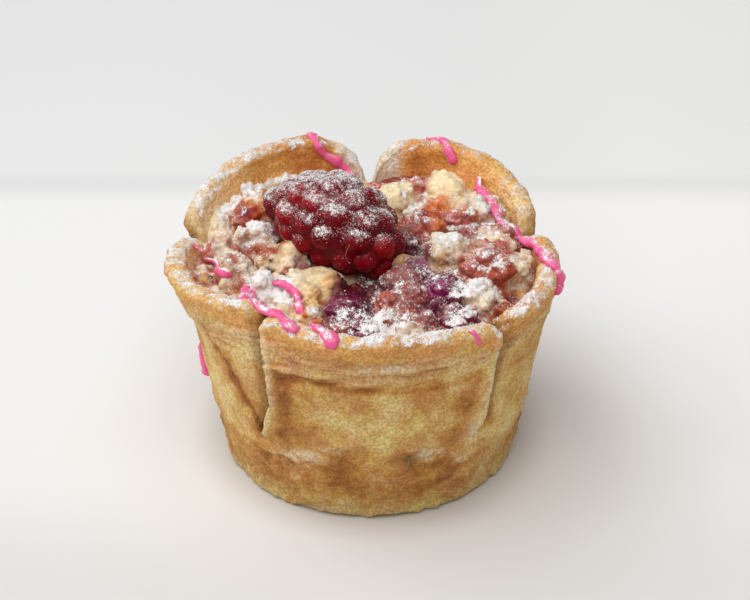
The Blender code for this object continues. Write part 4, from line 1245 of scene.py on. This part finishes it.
# Stains and smears over lumps and gaps alike, as (x, y, reach). Some of the dark, brown and toasted ones,
# beside and in front of the berry, are painted shadow of the berry.
STAINS_AND_SHADOWS = {
    "yellow": (
        (-30.9, 10.5, 1.8), (-29.6, 11.5, 1.4), (-22.5, 12.7, 2.2), (-19.3, 1.9, 1.2), (4.8, 15.4, 2.4),
        (13.4, 19.4, 2.6), (16.5, 19.8, 2.4), (16.0, 11.8, 2.0),
    ),
    "cream": (
        (-13.4, -12.6, 1.8), (-28.1, 8.4, 2.2), (-31.7, 6.3, 2.0), (-21.7, 2.4, 1.4),
        (-25.6, -0.3, 2.0), (22.1, 0.8, 1.6), (27.7, -5.3, 1.8), (26.3, -9.8, 1.6), (-14.7, -8.0, 1.5),
        (13.6, -2.8, 3.4), (20.9, -16.8, 2.0),
    ),
    "custard": ((-17.0, -7.0, 1.6), (-14.6, -4.8, 1.8), (19.4, 21.4, 2.0)),
    "crumble": ((-26.6, -8.6, 2.0), (-23.2, -9.7, 1.8)),
    "sugared": (
        (-25.4, 11.7, 1.3), (-23.1, 4.2, 1.4), (-21.1, 3.2, 1.6), (-19.2, 3.4, 1.5),
        (-19.6, -16.0, 1.6), (-23.3, -7.0, 1.8), (-29.8, -2.4, 1.5), (-20.8, -11.1, 2.2),
        (-17.9, -14.6, 2.2), (-14.4, -14.3, 1.4), (8.6, 14.3, 2.0), (20.2, 10.0, 1.8),
        (24.8, -8.7, 1.2), (19.6, -14.5, 1.4),
    ),
    "toasted": (
        # (-6.6, -14.8) is painted shade beside the berry
        (12.6, -7.4, 1.4), (-19.5, -5.4, 0.9), (-6.6, -14.8, 1.4), (-8.4, -18.4, 1.4),
        (-11.0, -20.0, 1.6),
    ),
    "orange": (
        (-23.6, 10.7, 1.7), (-21.3, 9.6, 2.0), (12.7, 14.5, 2.2), (13.4, 11.6, 2.2), (18.6, 7.7, 1.6),
        (11.5, 5.0, 1.8), (22.6, -11.6, 1.4),
    ),
    "syrup": (
        (13.8, -7.8, 1.0), (10.6, -4.4, 1.0), (-25.8, -7.2, 1.3), (-23.3, -10.6, 1.5),
        (26.0, -14.0, 1.2), (22.8, -20.4, 1.6),
    ),
    "jam": (
        (-23.9, -6.2, 1.1), (-23.0, 1.4, 1.3), (-21.6, -0.8, 1.6), (-24.8, 0.4, 1.2),
        (-29.7, -0.9, 1.0), (-28.6, -4.0, 1.1), (-27.8, -9.0, 1.3), (-22.2, 8.6, 1.6),
        (-24.6, 11.6, 1.2), (-19.4, -8.6, 0.8), (22.6, -9.4, 1.6), (25.0, -12.8, 1.3),
        (-18.0, -4.0, 1.7), (-20.3, -2.9, 1.5), (-16.3, -4.4, 1.0), (-22.4, 7.0, 2.1),
        (-18.2, -9.8, 0.7), (-15.1, -9.2, 0.7), (-23.0, -13.5, 1.1),
    ),
    "pink": (
        (-26.2, 15.4, 1.4), (-29.8, 0.4, 1.4), (9.7, 22.5, 1.8), (6.9, 25.6, 2.2), (15.3, 7.3, 1.4),
        (18.3, 6.0, 1.8), (10.2, 3.7, 1.8), (17.2, -8.2, 2.0), (19.8, -10.0, 1.6), (22.6, -5.6, 2.4),
        (23.4, -7.8, 1.8), (5.4, -18.7, 2.0), (2.7, -18.6, 1.8), (25.0, -14.8, 1.2), (23.2, -12.4, 1.1),
        (20.6, -10.6, 1.8),
    ),
    "brown": (
        # Painted shade of the berry: (-12.4, -7.0), (-10.6, -7.4), (-16.9, 3.4) and (-4.8, -15.2)
        (6.3, -15.1, 2.6), (4.4, -12.4, 2.4), (5.4, -19.0, 1.8), (-12.4, -7.0, 1.0), (-10.6, -7.4, 1.2),
        (-16.9, 3.4, 1.0), (-5.6, -19.2, 1.5), (-4.8, -15.2, 1.4), (18.3, 3.1, 2.2), (7.5, 5.0, 1.8),
        (5.6, -24.2, 2.2), (8.8, -24.6, 2.0),
    ),
    "purple": (
        (-23.5, 9.9, 1.2), (-17.8, 2.6, 1.3), (8.2, -7.8, 1.8), (11.2, -11.6, 2.4), (16.1, -15.3, 1.6),
        (12.4, -19.8, 1.8), (-4.2, -21.0, 2.0), (-3.4, -18.8, 2.2), (-6.9, -20.6, 1.6),
        (16.0, -21.4, 1.6),
    ),
    "magenta": ((12.5, -15.2, 1.5), (9.2, -5.2, 1.4)),
    "dark": (
        # Painted shadow of the berry: the stains from (-3.6, -15.4) to (0.8, -11.6)
        (-29.0, -7.4, 0.7), (-18.3, -7.9, 0.7), (8.3, -0.3, 1.8), (3.3, -14.0, 1.4), (9.7, -20.4, 2.0),
        (-0.7, -21.6, 1.8), (-3.6, -15.4, 1.5), (-4.0, -13.4, 1.4), (-4.6, -17.6, 1.2),
        (-2.4, -14.8, 1.6), (-1.6, -12.0, 1.8), (0.8, -11.6, 1.5),
    ),
    "gap": ((14.2, -8.2, 1.0), (22.5, -18.0, 0.9), (25.6, -13.4, 0.9), (15.0, -8.6, 0.9)),
}
STAIN_AND_SHADOW_STRENGTH = 0.90
STAIN_AND_SHADOW_PLATEAU = 1.9
# How far the borders between the lumps' colours and those of the stains and painted shadows wander
LUMP_WANDER, STAIN_AND_SHADOW_WANDER = 0.7, 1.2
BORDER_SHARPNESS = 9.0
# Small lumps and crumbs hold their own against the lumps that they lie on
SMALL_BELOW_SIZE, SMALL_WEIGHT = 2.9, 1.6
GROUND_WEIGHT, GROUND_FADE = 0.12, 1.2
# What lies between the lumps: (x, y, reach, kind)
GROUND = (
    (-18.0, -4.0, 15.0, "syrup"), (-20.0, 12.0, 10.0, "syrup"), (4.0, -20.0, 11.0, "dark"),
    (13.0, -11.0, 7.0, "dark"), (14.0, 8.0, 10.0, "gap"), (24.0, -8.0, 8.0, "syrup"),
    (-4.0, -20.0, 5.0, "dark"), (10.0, 21.0, 8.0, "gap"), (-2.0, 22.0, 7.0, "syrup"),
)


def kind_values(kind):
    return np.array([*KINDS[kind].colour, *KINDS[kind][1:]])


def filling_blend(points, lumps):
    """The kind values of every point: of the lumps and the ground near it, under the stains and painted
    shadows.
    """
    wander = np.stack([field(points, 1.7, seed) for seed in (41, 42, 43)], axis=-1)
    spots = points + LUMP_WANDER * wander
    total = 1e-9
    blend = np.zeros((len(points), 6))
    for lump in lumps:
        far = np.linalg.norm((spots - lump.middle) / (lump.size * np.array([1.0, 1.0, lump.tall])), axis=1)
        small = SMALL_WEIGHT if lump.size < SMALL_BELOW_SIZE else 1.0
        weight = np.exp(-BORDER_SHARPNESS * (far - 1.0)) * small
        total = total + weight
        blend += weight[:, None] * kind_values(lump.kind)
    for x, y, reach, kind in GROUND:
        far = np.hypot(points[:, 0] - x, points[:, 1] - y)
        weight = GROUND_WEIGHT * np.exp(-GROUND_FADE * far / reach)
        total = total + weight
        blend += weight[:, None] * kind_values(kind)
    blend /= total[:, None]
    spots = points + STAIN_AND_SHADOW_WANDER * wander
    for kind, places in STAINS_AND_SHADOWS.items():
        for x, y, reach in places:
            share = STAIN_AND_SHADOW_STRENGTH * np.minimum(1.0, STAIN_AND_SHADOW_PLATEAU * reach_out(spots, x, y, reach))
            blend = mix(blend, kind_values(kind), share[:, None])
    return blend


FILLING_POWDER = 0.37
CRACK_SHADE, CRACK_STAIN = 0.20, 0.18
PATCHY_STAIN = 0.20


def filling_looks(points, normals, lumps):
    """Colour, wetness, relief and powder of every point of the filling."""
    blend = filling_blend(points, lumps)
    colour, wet, rough, sugar = blend[:, :3], blend[:, 3], blend[:, 4], blend[:, 5]
    cracks, fine_cracks = np.abs(field(points, 2.1, 47)), np.abs(field(points, 1.1, 48))
    crumbly = smooth_step(0.15, 0.6, rough)
    relief = crumbly * (1.3 * np.minimum(cracks, 0.4) + 0.8 * np.minimum(fine_cracks, 0.4) - 0.35)
    relief += 0.16 * field(points, 0.9, 49) * (0.3 + 0.7 * crumbly)
    in_cracks = (1 - smooth_step(0.0, 0.10, cracks)) + 0.6 * (1 - smooth_step(0.0, 0.10, fine_cracks))
    in_cracks = np.minimum(in_cracks, 1.0)
    shade = 1.0 + noises(points, FILLING_SHADE)
    colour = colour * (shade * (1.0 - CRACK_SHADE * in_cracks * crumbly))[:, None]
    stained = PATCHY_STAIN * smooth_step(0.05, 0.45, field(points, 2.4, 46)) + CRACK_STAIN * in_cracks
    colour = mix(colour, np.array(KINDS["orange"].colour), (stained * crumbly * (1 - wet))[:, None])
    drift = sum(reach_out(points, x, y, reach) * amount for x, y, reach, amount in DRIFTS)
    clumps = noises(points, FILLING_CLUMPS) - 0.12 * in_cracks
    powder = (FILLING_POWDER + drift + sugar + clumps) * smooth_step(-0.15, 0.65, normals[:, 2])
    return colour, wet, relief, np.clip(powder, 0.0, 1.0)


def reach_out(points, x, y, reach):
    return bell(np.hypot(points[:, 0] - x, points[:, 1] - y), 0.0, reach)


def filling_material():
    material, tree, shader = new_material(
        "filling",
        IOR=1.42,
        Specular_IOR_Level=0.3,
        Subsurface_Weight=0.2,
        Subsurface_Radius=(1.0, 0.30, 0.18),
        Subsurface_Scale=1.2 * MM,
    )
    tint, wet = attribute(tree, "tint", "Color"), attribute(tree, "wet")
    flecks = ranged(tree, grain(tree, 0.6, 3.0), 0.38, 0.62)
    colour = mixed_colour(tree, flecks, toned(tree, tint, (0.90, 0.80, 0.72)), tint)
    dry = math_node(tree, "SUBTRACT", 1.0, wet)
    bumps = times(tree, grain(tree, 0.45, 4.0), math_node(tree, "ADD", dry, 0.35))
    mask = dusted(tree, shader, colour, 0.25, bumps, 0.35)
    roughness = ranged(tree, wet, 0.0, 1.0, 0.80, 0.24)
    roughness = math_node(tree, "ADD", roughness, times(tree, mask, 0.5), clamp=True)
    tree.links.new(roughness, shader.inputs["Roughness"])
    return material


def smoothness(kind):
    """The share of the unevenness that a lump of this kind keeps."""
    return SMOOTHER_KINDS.get(kind, 1.0)


def make_filling():
    edges = []
    for column in columns(FILL_COLUMNS):
        z = column.fill_edge_z
        edges.append(at(column_azimuth(column, z), inner_radius(column, z) + INTO_PASTRY, z))
    edges = np.array(edges)
    lumps = [placed_lump(spec, edges) for spec in all_lumps()]
    parts = [fill_body(edges)]
    for k, lump in enumerate(lumps):
        parts.append(lump_shape(lump, 3.7 * k, LUMP_DETAIL, LUMP_UNEVENNESS * smoothness(lump.kind)))
    rough_top = mesh_object("rough_top", *joined(parts))
    top = tree_of(rough_top)
    small = ridge_lumps(top) + crumbs(top, lumps)
    bpy.data.objects.remove(rough_top)
    for k, crumb in enumerate(small):
        parts.append(lump_shape(crumb, 1.3 * k, CRUMB_DETAIL, CRUMB_UNEVENNESS * smoothness(crumb.kind)))
    filling = fused("baked_filling", parts, FILLING_VOXEL, smoothing=1)
    close_below(filling, FILL_UNDERSIDE_Z + 0.3)
    points, normals = mesh_points(filling), mesh_normals(filling)
    colour, wet, relief, powder = filling_looks(points, normals, lumps + small)
    place_points(filling, points + normals * relief[:, None])
    store(filling, "tint", colour)
    store(filling, "wet", wet)
    store(filling, "powder", powder)
    filling.data.materials.append(filling_material())
    return filling


# The raspberry


def drupelet_places():
    """(share, turn) of every drupelet: the ones that show, then more where there is most room."""
    golden = math.pi * (3.0 - math.sqrt(5.0))
    places = [(share, radians(turn)) for share, turn in SEEN_DRUPELETS]
    points = [berry_point(share, turn) for share, turn in places]
    spares = [(mix(0.04, 0.97, k / DRUPELET_CHOICES), golden * k) for k in range(DRUPELET_CHOICES)]
    spare_points = [berry_point(share, turn) for share, turn in spares]
    rooms = [min((p - q).length for q in points) for p in spare_points]
    while len(places) < DRUPELETS:
        best = rooms.index(max(rooms))
        places.append(spares[best])
        rooms = [min(room, (p - spare_points[best]).length) for room, p in zip(rooms, spare_points)]
    return places


def berry_material():
    material, tree, shader = new_material(
        "raspberry",
        IOR=1.45,
        Specular_IOR_Level=0.12,
        Subsurface_Weight=0.35,
        Subsurface_Radius=(1.0, 0.06, 0.04),
        Subsurface_Scale=1.8 * MM,
        Coat_Weight=0.12,
        Coat_Roughness=0.08,
    )
    tint = attribute(tree, "tint", "Color")
    soft = ranged(tree, grain(tree, 1.4, 2.0), 0.3, 0.7)
    colour = mixed_colour(tree, soft, toned(tree, tint, (0.60, 0.40, 0.50)), tint)
    mask = dusted(tree, shader, colour, 0.20, times(tree, grain(tree, 0.7, 2.0), 0.25), 0.30)
    tree.links.new(ranged(tree, mask, 0.0, 1.0, 0.22, 0.8), shader.inputs["Roughness"])
    return material


DRUPELET_VARIETY, DRUPELET_UNEVENNESS = 0.08, 0.05
CREASE_SHADE, CREASE_SUGAR = 0.38, 0.30
FEW_BRIGHT_DRUPELETS = 1.6
BERRY_POWDER, MOST_BERRY_POWDER = 0.68, 0.74


def make_raspberry():
    directions, faces = ball(DRUPELET_DETAIL)
    core = [berry_point((1 + d[0]) / 2, math.atan2(d[2], -d[1]), -BERRY_CORE_INSET) for d in directions]
    parts = [(np.array(core), faces)]
    hearts, radii = [], []
    for k, (share, turn) in enumerate(drupelet_places()):
        skin = berry_point(share, turn)
        radius = DRUPELET_RADIUS * (1.0 + DRUPELET_VARIETY * math.sin(7.0 * k))
        radius = min(radius, (skin - berry_middle(share)).length)
        heart = np.array(berry_point(share, turn, out=-radius))
        swell = 1.0 + DRUPELET_UNEVENNESS * field(directions, 1.2, k)
        parts.append((heart + directions * (radius * swell)[:, None], faces))
        hearts.append(heart)
        radii.append(radius)
    berry = fused("raspberry_fruit", parts, BERRY_VOXEL, smoothing=5)
    points, normals = mesh_points(berry), mesh_normals(berry)
    far = np.linalg.norm(points[:, None] - np.array(hearts)[None], axis=2) / np.array(radii)
    nearest = np.argmin(far, axis=1)
    far.sort(axis=1)
    creased = np.clip(1.0 - (far[:, 1] - far[:, 0]) * 2.5, 0.0, 1.0)
    shares = np.random.default_rng(BERRY_SEED).random(len(hearts)) ** FEW_BRIGHT_DRUPELETS
    deep, bright = np.array(BERRY_REDS)
    colour = mix(deep, bright, shares[nearest][:, None]) * (1.0 - CREASE_SHADE * creased)[:, None]
    crown = smooth_step(-0.10, 0.85, normals[:, 2]) * (1.0 - CREASE_SUGAR * creased)
    high = mix(0.30, 1.0, smooth_step(45.5, 49.5, points[:, 2] - 0.12 * points[:, 0]))
    powder = (BERRY_POWDER + noises(points, BERRY_CLUMPS)) * crown * high
    store(berry, "tint", colour)
    store(berry, "powder", np.clip(powder, 0.0, MOST_BERRY_POWDER))
    berry.data.materials.append(berry_material())
    return berry


# The icing


def smooth_route(route, spacing):
    """Points along a Catmull-Rom curve through the route, about a spacing apart."""
    route = [Vector(p) for p in route]
    ends = [2 * route[0] - route[1], *route, 2 * route[-1] - route[-2]]
    line = []
    for a, b, c, d in zip(ends, ends[1:], ends[2:], ends[3:]):
        steps = max(1, round((c - b).length / spacing))
        for k in range(steps):
            t = k / steps
            bend = (c - a) * t + (2 * a - 5 * b + 4 * c - d) * t**2 + (3 * b - a - 3 * c + d) * t**3
            line.append(b + 0.5 * bend)
    return [*line, route[-1]]


def tube(line, sides, ups, widths, heights, corners):
    """(points, faces) of a closed tube along a line, with its own width and height at each point."""
    turns = np.linspace(0.0, 2 * math.pi, corners, endpoint=False)[:, None, None]
    ring = np.cos(turns) * (sides * widths[:, None]) - np.sin(turns) * (ups * heights[:, None])
    points = (line + ring).reshape(-1, 3)
    ends = [line[0] + (line[0] - line[1]) * 0.5, line[-1] + (line[-1] - line[-2]) * 0.5]
    return np.concatenate([points, ends]), grid_faces(corners, len(line))


def icing_material():
    material, tree, shader = new_material(
        "icing",
        IOR=1.45,
        Roughness=0.34,
        Specular_IOR_Level=0.3,
        Subsurface_Weight=0.3,
        Subsurface_Radius=(1.0, 0.4, 0.5),
        Subsurface_Scale=0.6 * MM,
    )
    pink = mixed_colour(tree, grain(tree, 1.6, 2.0), *ICING_PINKS)
    dusted(tree, shader, pink, 0.26, times(tree, grain(tree, 0.8, 2.0), 0.5))
    return material


def unit(rows):
    return rows / np.maximum(np.linalg.norm(rows, axis=1, keepdims=True), 1e-9)


def smoothed(rows, rounds):
    for _ in range(rounds):
        rows = np.concatenate([rows[:1], (rows[:-2] + 2 * rows[1:-1] + rows[2:]) / 4, rows[-1:]])
    return rows


def icing_ribbon(strand, number, ground):
    """(points, faces) of one soft ribbon of icing, laid on the ground."""
    line, ups = [], []
    for point in smooth_route(strand.route, ICING_SPACING):
        near, normal, _, _ = ground.find_nearest(point)
        line.append(list(near))
        ups.append(list(normal))
    line = smoothed(np.array(line), ICING_ROUTE_ROUNDS)
    ups = unit(smoothed(np.array(ups), ICING_TILT_ROUNDS))
    sides = unit(np.cross(unit(np.gradient(line, axis=0)), ups))
    share = np.linspace(0.0, 1.0, len(line))
    length = share * (len(line) - 1) * ICING_SPACING
    left = length[-1] - length
    along = np.stack([length, np.full(len(line), 9.0 * number), np.zeros(len(line))], axis=1)
    round_over = strand.half_width * (1.0 + strand.end_widening * (share > 0.5))
    from_end = np.clip(np.minimum(length, left) / round_over, 0.0, 1.0)
    ends = np.sqrt(np.clip(1.0 - (1.0 - from_end) ** 2, 0.01, 1.0))
    drop = 1.0 + strand.end_widening * (1.0 - smooth_step(*ICING_DROP, left))
    widths = strand.half_width * (1.0 + noises(along, ICING_UNEVENNESS)) * ends * drop
    line = line + sides * (ICING_WAVER * field(along, 3.0, 74))[:, None]
    line = line + ups * (ICING_SUNK * widths)[:, None]
    return tube(line, sides, ups, widths, widths * ICING_FLATNESS, ICING_CORNERS)


def make_icing(ground):
    """The icing, with more or less powder on the first part of each strand as its dust says."""
    ribbons = [icing_ribbon(strand, number, ground) for number, strand in enumerate(STRANDS)]
    dusts = []
    for strand, (points, _) in zip(STRANDS, ribbons):
        dusts.append(strand.dust * (1 - smooth_step(*DUST_ENDS_BY, np.linspace(0.0, 1.0, len(points)))))
    icing = mesh_object("icing_strands", *joined(ribbons))
    points, normals = mesh_points(icing), mesh_normals(icing)
    place_points(icing, points + normals * (ICING_ROUGHNESS * field(points, 0.9, 75))[:, None])
    dusting = ICING_DUST + noises(points, ICING_CLUMPS) + np.concatenate(dusts)
    store(icing, "powder", np.clip(dusting * smooth_step(0.2, 0.8, normals[:, 2]), 0.0, 1.0))
    icing.data.materials.append(icing_material())
    return icing


# The powdered sugar

GRAIN_POINTS = np.concatenate([np.eye(3), -np.eye(3)])
GRAIN_FACES = np.array([
    (0, 1, 2), (1, 3, 2), (3, 4, 2), (4, 0, 2), (1, 0, 5), (3, 1, 5), (4, 3, 5), (0, 4, 5)
])
LOWEST_GRAIN_Z = 1.5
GRAIN_RISE = 0.4
GRAINS_GATHER, FEW_LARGE_GRAINS = 1.8, 3.0
GRAIN_VARIETY = (0.65, 1.0)
SUGAR_SEED = 1
# How many grains lie on the pastry, the filling and the berry, and their smallest and largest radius
GRAINS = ((8000, (0.06, 0.20)), (9500, (0.06, 0.22)), (7000, (0.05, 0.13)))


def scattered(obj, count, sizes, rng):
    """(points, faces) of grains on an object, thickest where its powder attribute is high."""
    obj.data.calc_loop_triangles()
    corners = np.empty(len(obj.data.loop_triangles) * 3, np.int32)
    obj.data.loop_triangles.foreach_get("vertices", corners)
    corners = corners.reshape(-1, 3)
    points, normals = mesh_points(obj), mesh_normals(obj)
    powder = np.empty(len(points), np.float32)
    obj.data.attributes["powder"].data.foreach_get("value", powder)
    a, b, c = (points[corners[:, k]] for k in range(3))
    area = np.linalg.norm(np.cross(b - a, c - a), axis=1) / 2
    powdered = np.clip(powder[corners].mean(axis=1), 0.0, 1.0) ** GRAINS_GATHER
    wanted = area * powdered * (a[:, 2] > LOWEST_GRAIN_Z)
    chosen = rng.choice(len(corners), count, p=wanted / wanted.sum())
    shares = rng.dirichlet((1.0, 1.0, 1.0), count)[..., None]
    spots = (points[corners[chosen]] * shares).sum(axis=1)
    facing = (normals[corners[chosen]] * shares).sum(axis=1)
    radius = mix(*sizes, rng.random(count) ** FEW_LARGE_GRAINS)
    turned = np.linalg.qr(rng.normal(size=(count, 3, 3)))[0]
    shapes = (GRAIN_POINTS * rng.uniform(*GRAIN_VARIETY, (count, len(GRAIN_POINTS), 1))) @ turned
    centres = spots + facing * (GRAIN_RISE * radius)[:, None]
    grain_points = centres[:, None] + shapes * radius[:, None, None]
    grain_faces = GRAIN_FACES[None] + (np.arange(count) * len(GRAIN_POINTS))[:, None, None]
    return grain_points.reshape(-1, 3), grain_faces.reshape(-1, 3).tolist()


def make_sugar(*grounds):
    rng = np.random.default_rng(SUGAR_SEED)
    parts = [scattered(ground, count, sizes, rng) for ground, (count, sizes) in zip(grounds, GRAINS)]
    sugar = mesh_object("powdered_sugar", *joined(parts))
    material, tree, shader = new_material(
        "powdered_sugar",
        Roughness=0.6,
        IOR=1.45,
        Subsurface_Weight=0.3,
        Subsurface_Radius=(1.0, 0.9, 0.9),
        Subsurface_Scale=0.3 * MM,
    )
    tone = mixed_colour(tree, grain(tree, 1.2, 2.0), SUGAR_SHADE, SUGAR)
    tree.links.new(tone, shader.inputs["Base Color"])
    sugar.data.materials.append(material)
    return sugar


# The berry's fine hairs: (share of the length, degrees round it, length, degrees of lean)
HAIRS = (
    (0.62, 60.0, 2.8, -42.0),
    (0.72, 38.0, 2.4, 30.0),
    (0.70, 76.0, 2.6, -38.0),
    (0.80, 20.0, 3.2, -70.0),
    (0.40, 70.0, 2.8, 30.0),
    (0.50, 100.0, 3.4, -20.0),
    (0.85, 80.0, 2.6, 10.0),
    (0.30, 30.0, 2.4, 80.0),
)
HAIR_POINTS, HAIR_CORNERS = 13, 6
HAIR_RADII = (0.045, 0.025)
HAIR_ARCH, HAIR_RISE = 1.3, 0.4
HAIR_ROOT = -0.5


def make_hairs():
    along, across, upward = berry_directions()
    shares = np.linspace(0.0, 1.0, HAIR_POINTS)[:, None]
    thickness = np.linspace(*HAIR_RADII, HAIR_POINTS)
    parts = []
    for share, degrees, length, lean in HAIRS:
        turn, lean = radians(degrees), radians(lean)
        outward = across * math.cos(turn) + upward * math.sin(turn)
        side = along * math.cos(lean) + outward.cross(along) * math.sin(lean)
        rise = HAIR_ARCH * np.sin(math.pi * shares) + HAIR_RISE * shares
        line = np.array(berry_point(share, turn, HAIR_ROOT)) + np.array(side) * (length * shares)
        line = line + np.array(outward) * rise
        ahead = unit(np.gradient(line, axis=0))
        sides = unit(np.cross(ahead, np.array(outward)))
        parts.append(tube(line, sides, np.cross(sides, ahead), thickness, thickness, HAIR_CORNERS))
    hairs = mesh_object("berry_hairs", *joined(parts))
    material, tree, shader = new_material("hair", Roughness=0.45)
    tone = mixed_colour(tree, grain(tree, 1.0, 1.0), *HAIR_BROWNS)
    tree.links.new(tone, shader.inputs["Base Color"])
    hairs.data.materials.append(material)
    return hairs


# The stage

FLOOR_HALF = 1500.0
TABLE_END_Y = 96.0  # behind the tart, where the photograph's table ends
TABLE_VEINS = ((0.81, 0.805, 0.80), (0.84, 0.835, 0.83))
# The table is painted lighter towards the back and darker towards the front, as painted light and shade;
# past its end lies the backdrop's colour
TABLE_FAR_PAINTED_LIGHT, TABLE_NEAR_PAINTED_SHADE, PAST_TABLE = (0.87, 0.865, 0.86), (0.72, 0.71, 0.70), (0.80, 0.805, 0.80)
# How the floor's colour changes: painted shadow round the tart's foot, a darker band along the table's end,
# painted shade to the left and painted light to the right
PAINTED_FOOT_SHADOW, END_TONE = (0.78, 0.75, 0.72), (0.92, 0.925, 0.93)
PAINTED_LEFT_SHADE, PAINTED_RIGHT_LIGHT = (0.97, 0.97, 0.97), (1.05, 1.045, 1.04)


def make_stage():
    corners = [[x, y, 0.0] for x, y in ((-1, -1), (1, -1), (1, 1), (-1, 1))]
    floor = mesh_object("floor", np.array(corners) * FLOOR_HALF, [(0, 1, 2, 3)])
    material, tree, shader = new_material("floor", Roughness=0.55)
    place = add_node(tree, "ShaderNodeTexCoord").outputs["Object"]
    x, y = add_node(tree, "ShaderNodeSeparateXYZ", {"Vector": place}).outputs[:2]
    reach = add_node(tree, "ShaderNodeVectorMath", {"Vector": place}, operation="LENGTH").outputs[1]

    def across(value, start, end):
        """From 0 to 1 between two distances in millimetres."""
        return ranged(tree, value, start * MM, end * MM)

    def changed(colour, share, tone):
        return mixed_colour(tree, share, colour, toned(tree, colour, tone))

    colour = mixed_colour(tree, ranged(tree, grain(tree, 60.0, 4.0), 0.3, 0.7), *TABLE_VEINS)
    # Painted light towards the back and painted shade towards the front
    colour = mixed_colour(tree, across(y, -60.0, TABLE_END_Y), colour, TABLE_FAR_PAINTED_LIGHT)
    colour = mixed_colour(tree, across(y, -12.0, -50.0), colour, TABLE_NEAR_PAINTED_SHADE)
    # Painted shadow round the tart's foot
    colour = changed(colour, times(tree, across(reach, 36.0, 27.0), 0.95), PAINTED_FOOT_SHADOW)
    colour = mixed_colour(tree, across(y, TABLE_END_Y - 4.0, TABLE_END_Y + 4.0), colour, PAST_TABLE)
    before_end = across(y, TABLE_END_Y - 10.0, TABLE_END_Y)
    past_end = across(y, TABLE_END_Y, TABLE_END_Y + 8.0)
    colour = changed(colour, math_node(tree, "SUBTRACT", before_end, past_end), END_TONE)
    # Painted shade to the left and painted light to the right
    colour = changed(colour, across(x, -40.0, -130.0), PAINTED_LEFT_SHADE)
    colour = changed(colour, across(x, 20.0, 70.0), PAINTED_RIGHT_LIGHT)
    tree.links.new(colour, shader.inputs["Base Color"])
    floor.data.materials.append(material)


Softbox = namedtuple("Softbox", "azimuth elevation distance size power colour")
SOFTBOXES = (
    Softbox(-100.0, 55.0, 1500.0, 1100.0, 11.0, (0.92, 0.97, 1.0)),
    Softbox(20.0, 78.0, 1400.0, 1200.0, 4.6, (1.0, 0.99, 0.98)),
    Softbox(-78.0, 22.0, 1200.0, 700.0, 1.6, (1.0, 0.98, 0.95)),
    Softbox(-12.0, 56.0, 1600.0, 1300.0, 9.0, (1.0, 0.99, 0.98)),
)
SKY = (1.0, 0.965, 0.93)
SKY_STRENGTH = 0.28


def make_lights():
    for number, box in enumerate(SOFTBOXES):
        light = bpy.data.lights.new(f"softbox_{number}", "AREA")
        light.size = box.size * MM
        light.energy = box.power
        light.color = box.colour
        obj = bpy.data.objects.new(light.name, light)
        turn, lift = radians(box.azimuth), radians(box.elevation)
        flat = math.cos(lift)
        towards = Vector((math.sin(turn) * flat, -math.cos(turn) * flat, math.sin(lift)))
        obj.location = towards * box.distance * MM
        obj.rotation_euler = towards.to_track_quat("Z", "Y").to_euler()
        bpy.context.scene.collection.objects.link(obj)
    world = bpy.data.worlds.new("studio")
    world.use_nodes = True
    background = world.node_tree.nodes["Background"]
    background.inputs["Color"].default_value = (*SKY, 1.0)
    background.inputs["Strength"].default_value = SKY_STRENGTH
    bpy.context.scene.world = world


CAMERA_LOOKS_AT = (0.99, 0.0, 29.7)
CAMERA_ELEVATION_DEG = 32.5
CAMERA_DISTANCE = 378.0
CAMERA_LENS, CAMERA_SENSOR = 97.37, 36.0
CAMERA_SEES = (0.01, 10.0)  # metres


def make_camera():
    camera = bpy.data.cameras.new("camera")
    camera.lens = CAMERA_LENS
    camera.sensor_width = CAMERA_SENSOR
    camera.clip_start, camera.clip_end = CAMERA_SEES
    obj = bpy.data.objects.new("camera", camera)
    lift = radians(CAMERA_ELEVATION_DEG)
    back = Vector((0.0, -math.cos(lift), math.sin(lift)))
    obj.location = (Vector(CAMERA_LOOKS_AT) + back * CAMERA_DISTANCE) * MM
    obj.rotation_euler = (-back).to_track_quat("-Z", "Y").to_euler()
    bpy.context.scene.collection.objects.link(obj)
    bpy.context.scene.camera = obj
    bpy.context.scene.view_settings.view_transform = "Standard"


def main():
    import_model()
    crust, filling, berry = make_crust(), make_filling(), make_raspberry()
    icing = make_icing(tree_of(crust, filling))
    hairs = make_hairs()
    sugar = make_sugar(crust, filling, berry)
    for piece in (crust, filling, berry, icing, hairs, sugar):
        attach(piece, "root")
    for piece, node in ((crust, "crust"), (filling, "filling"), (berry, "raspberry")):
        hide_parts(node)
    make_stage()
    make_lights()
    make_camera()


main()
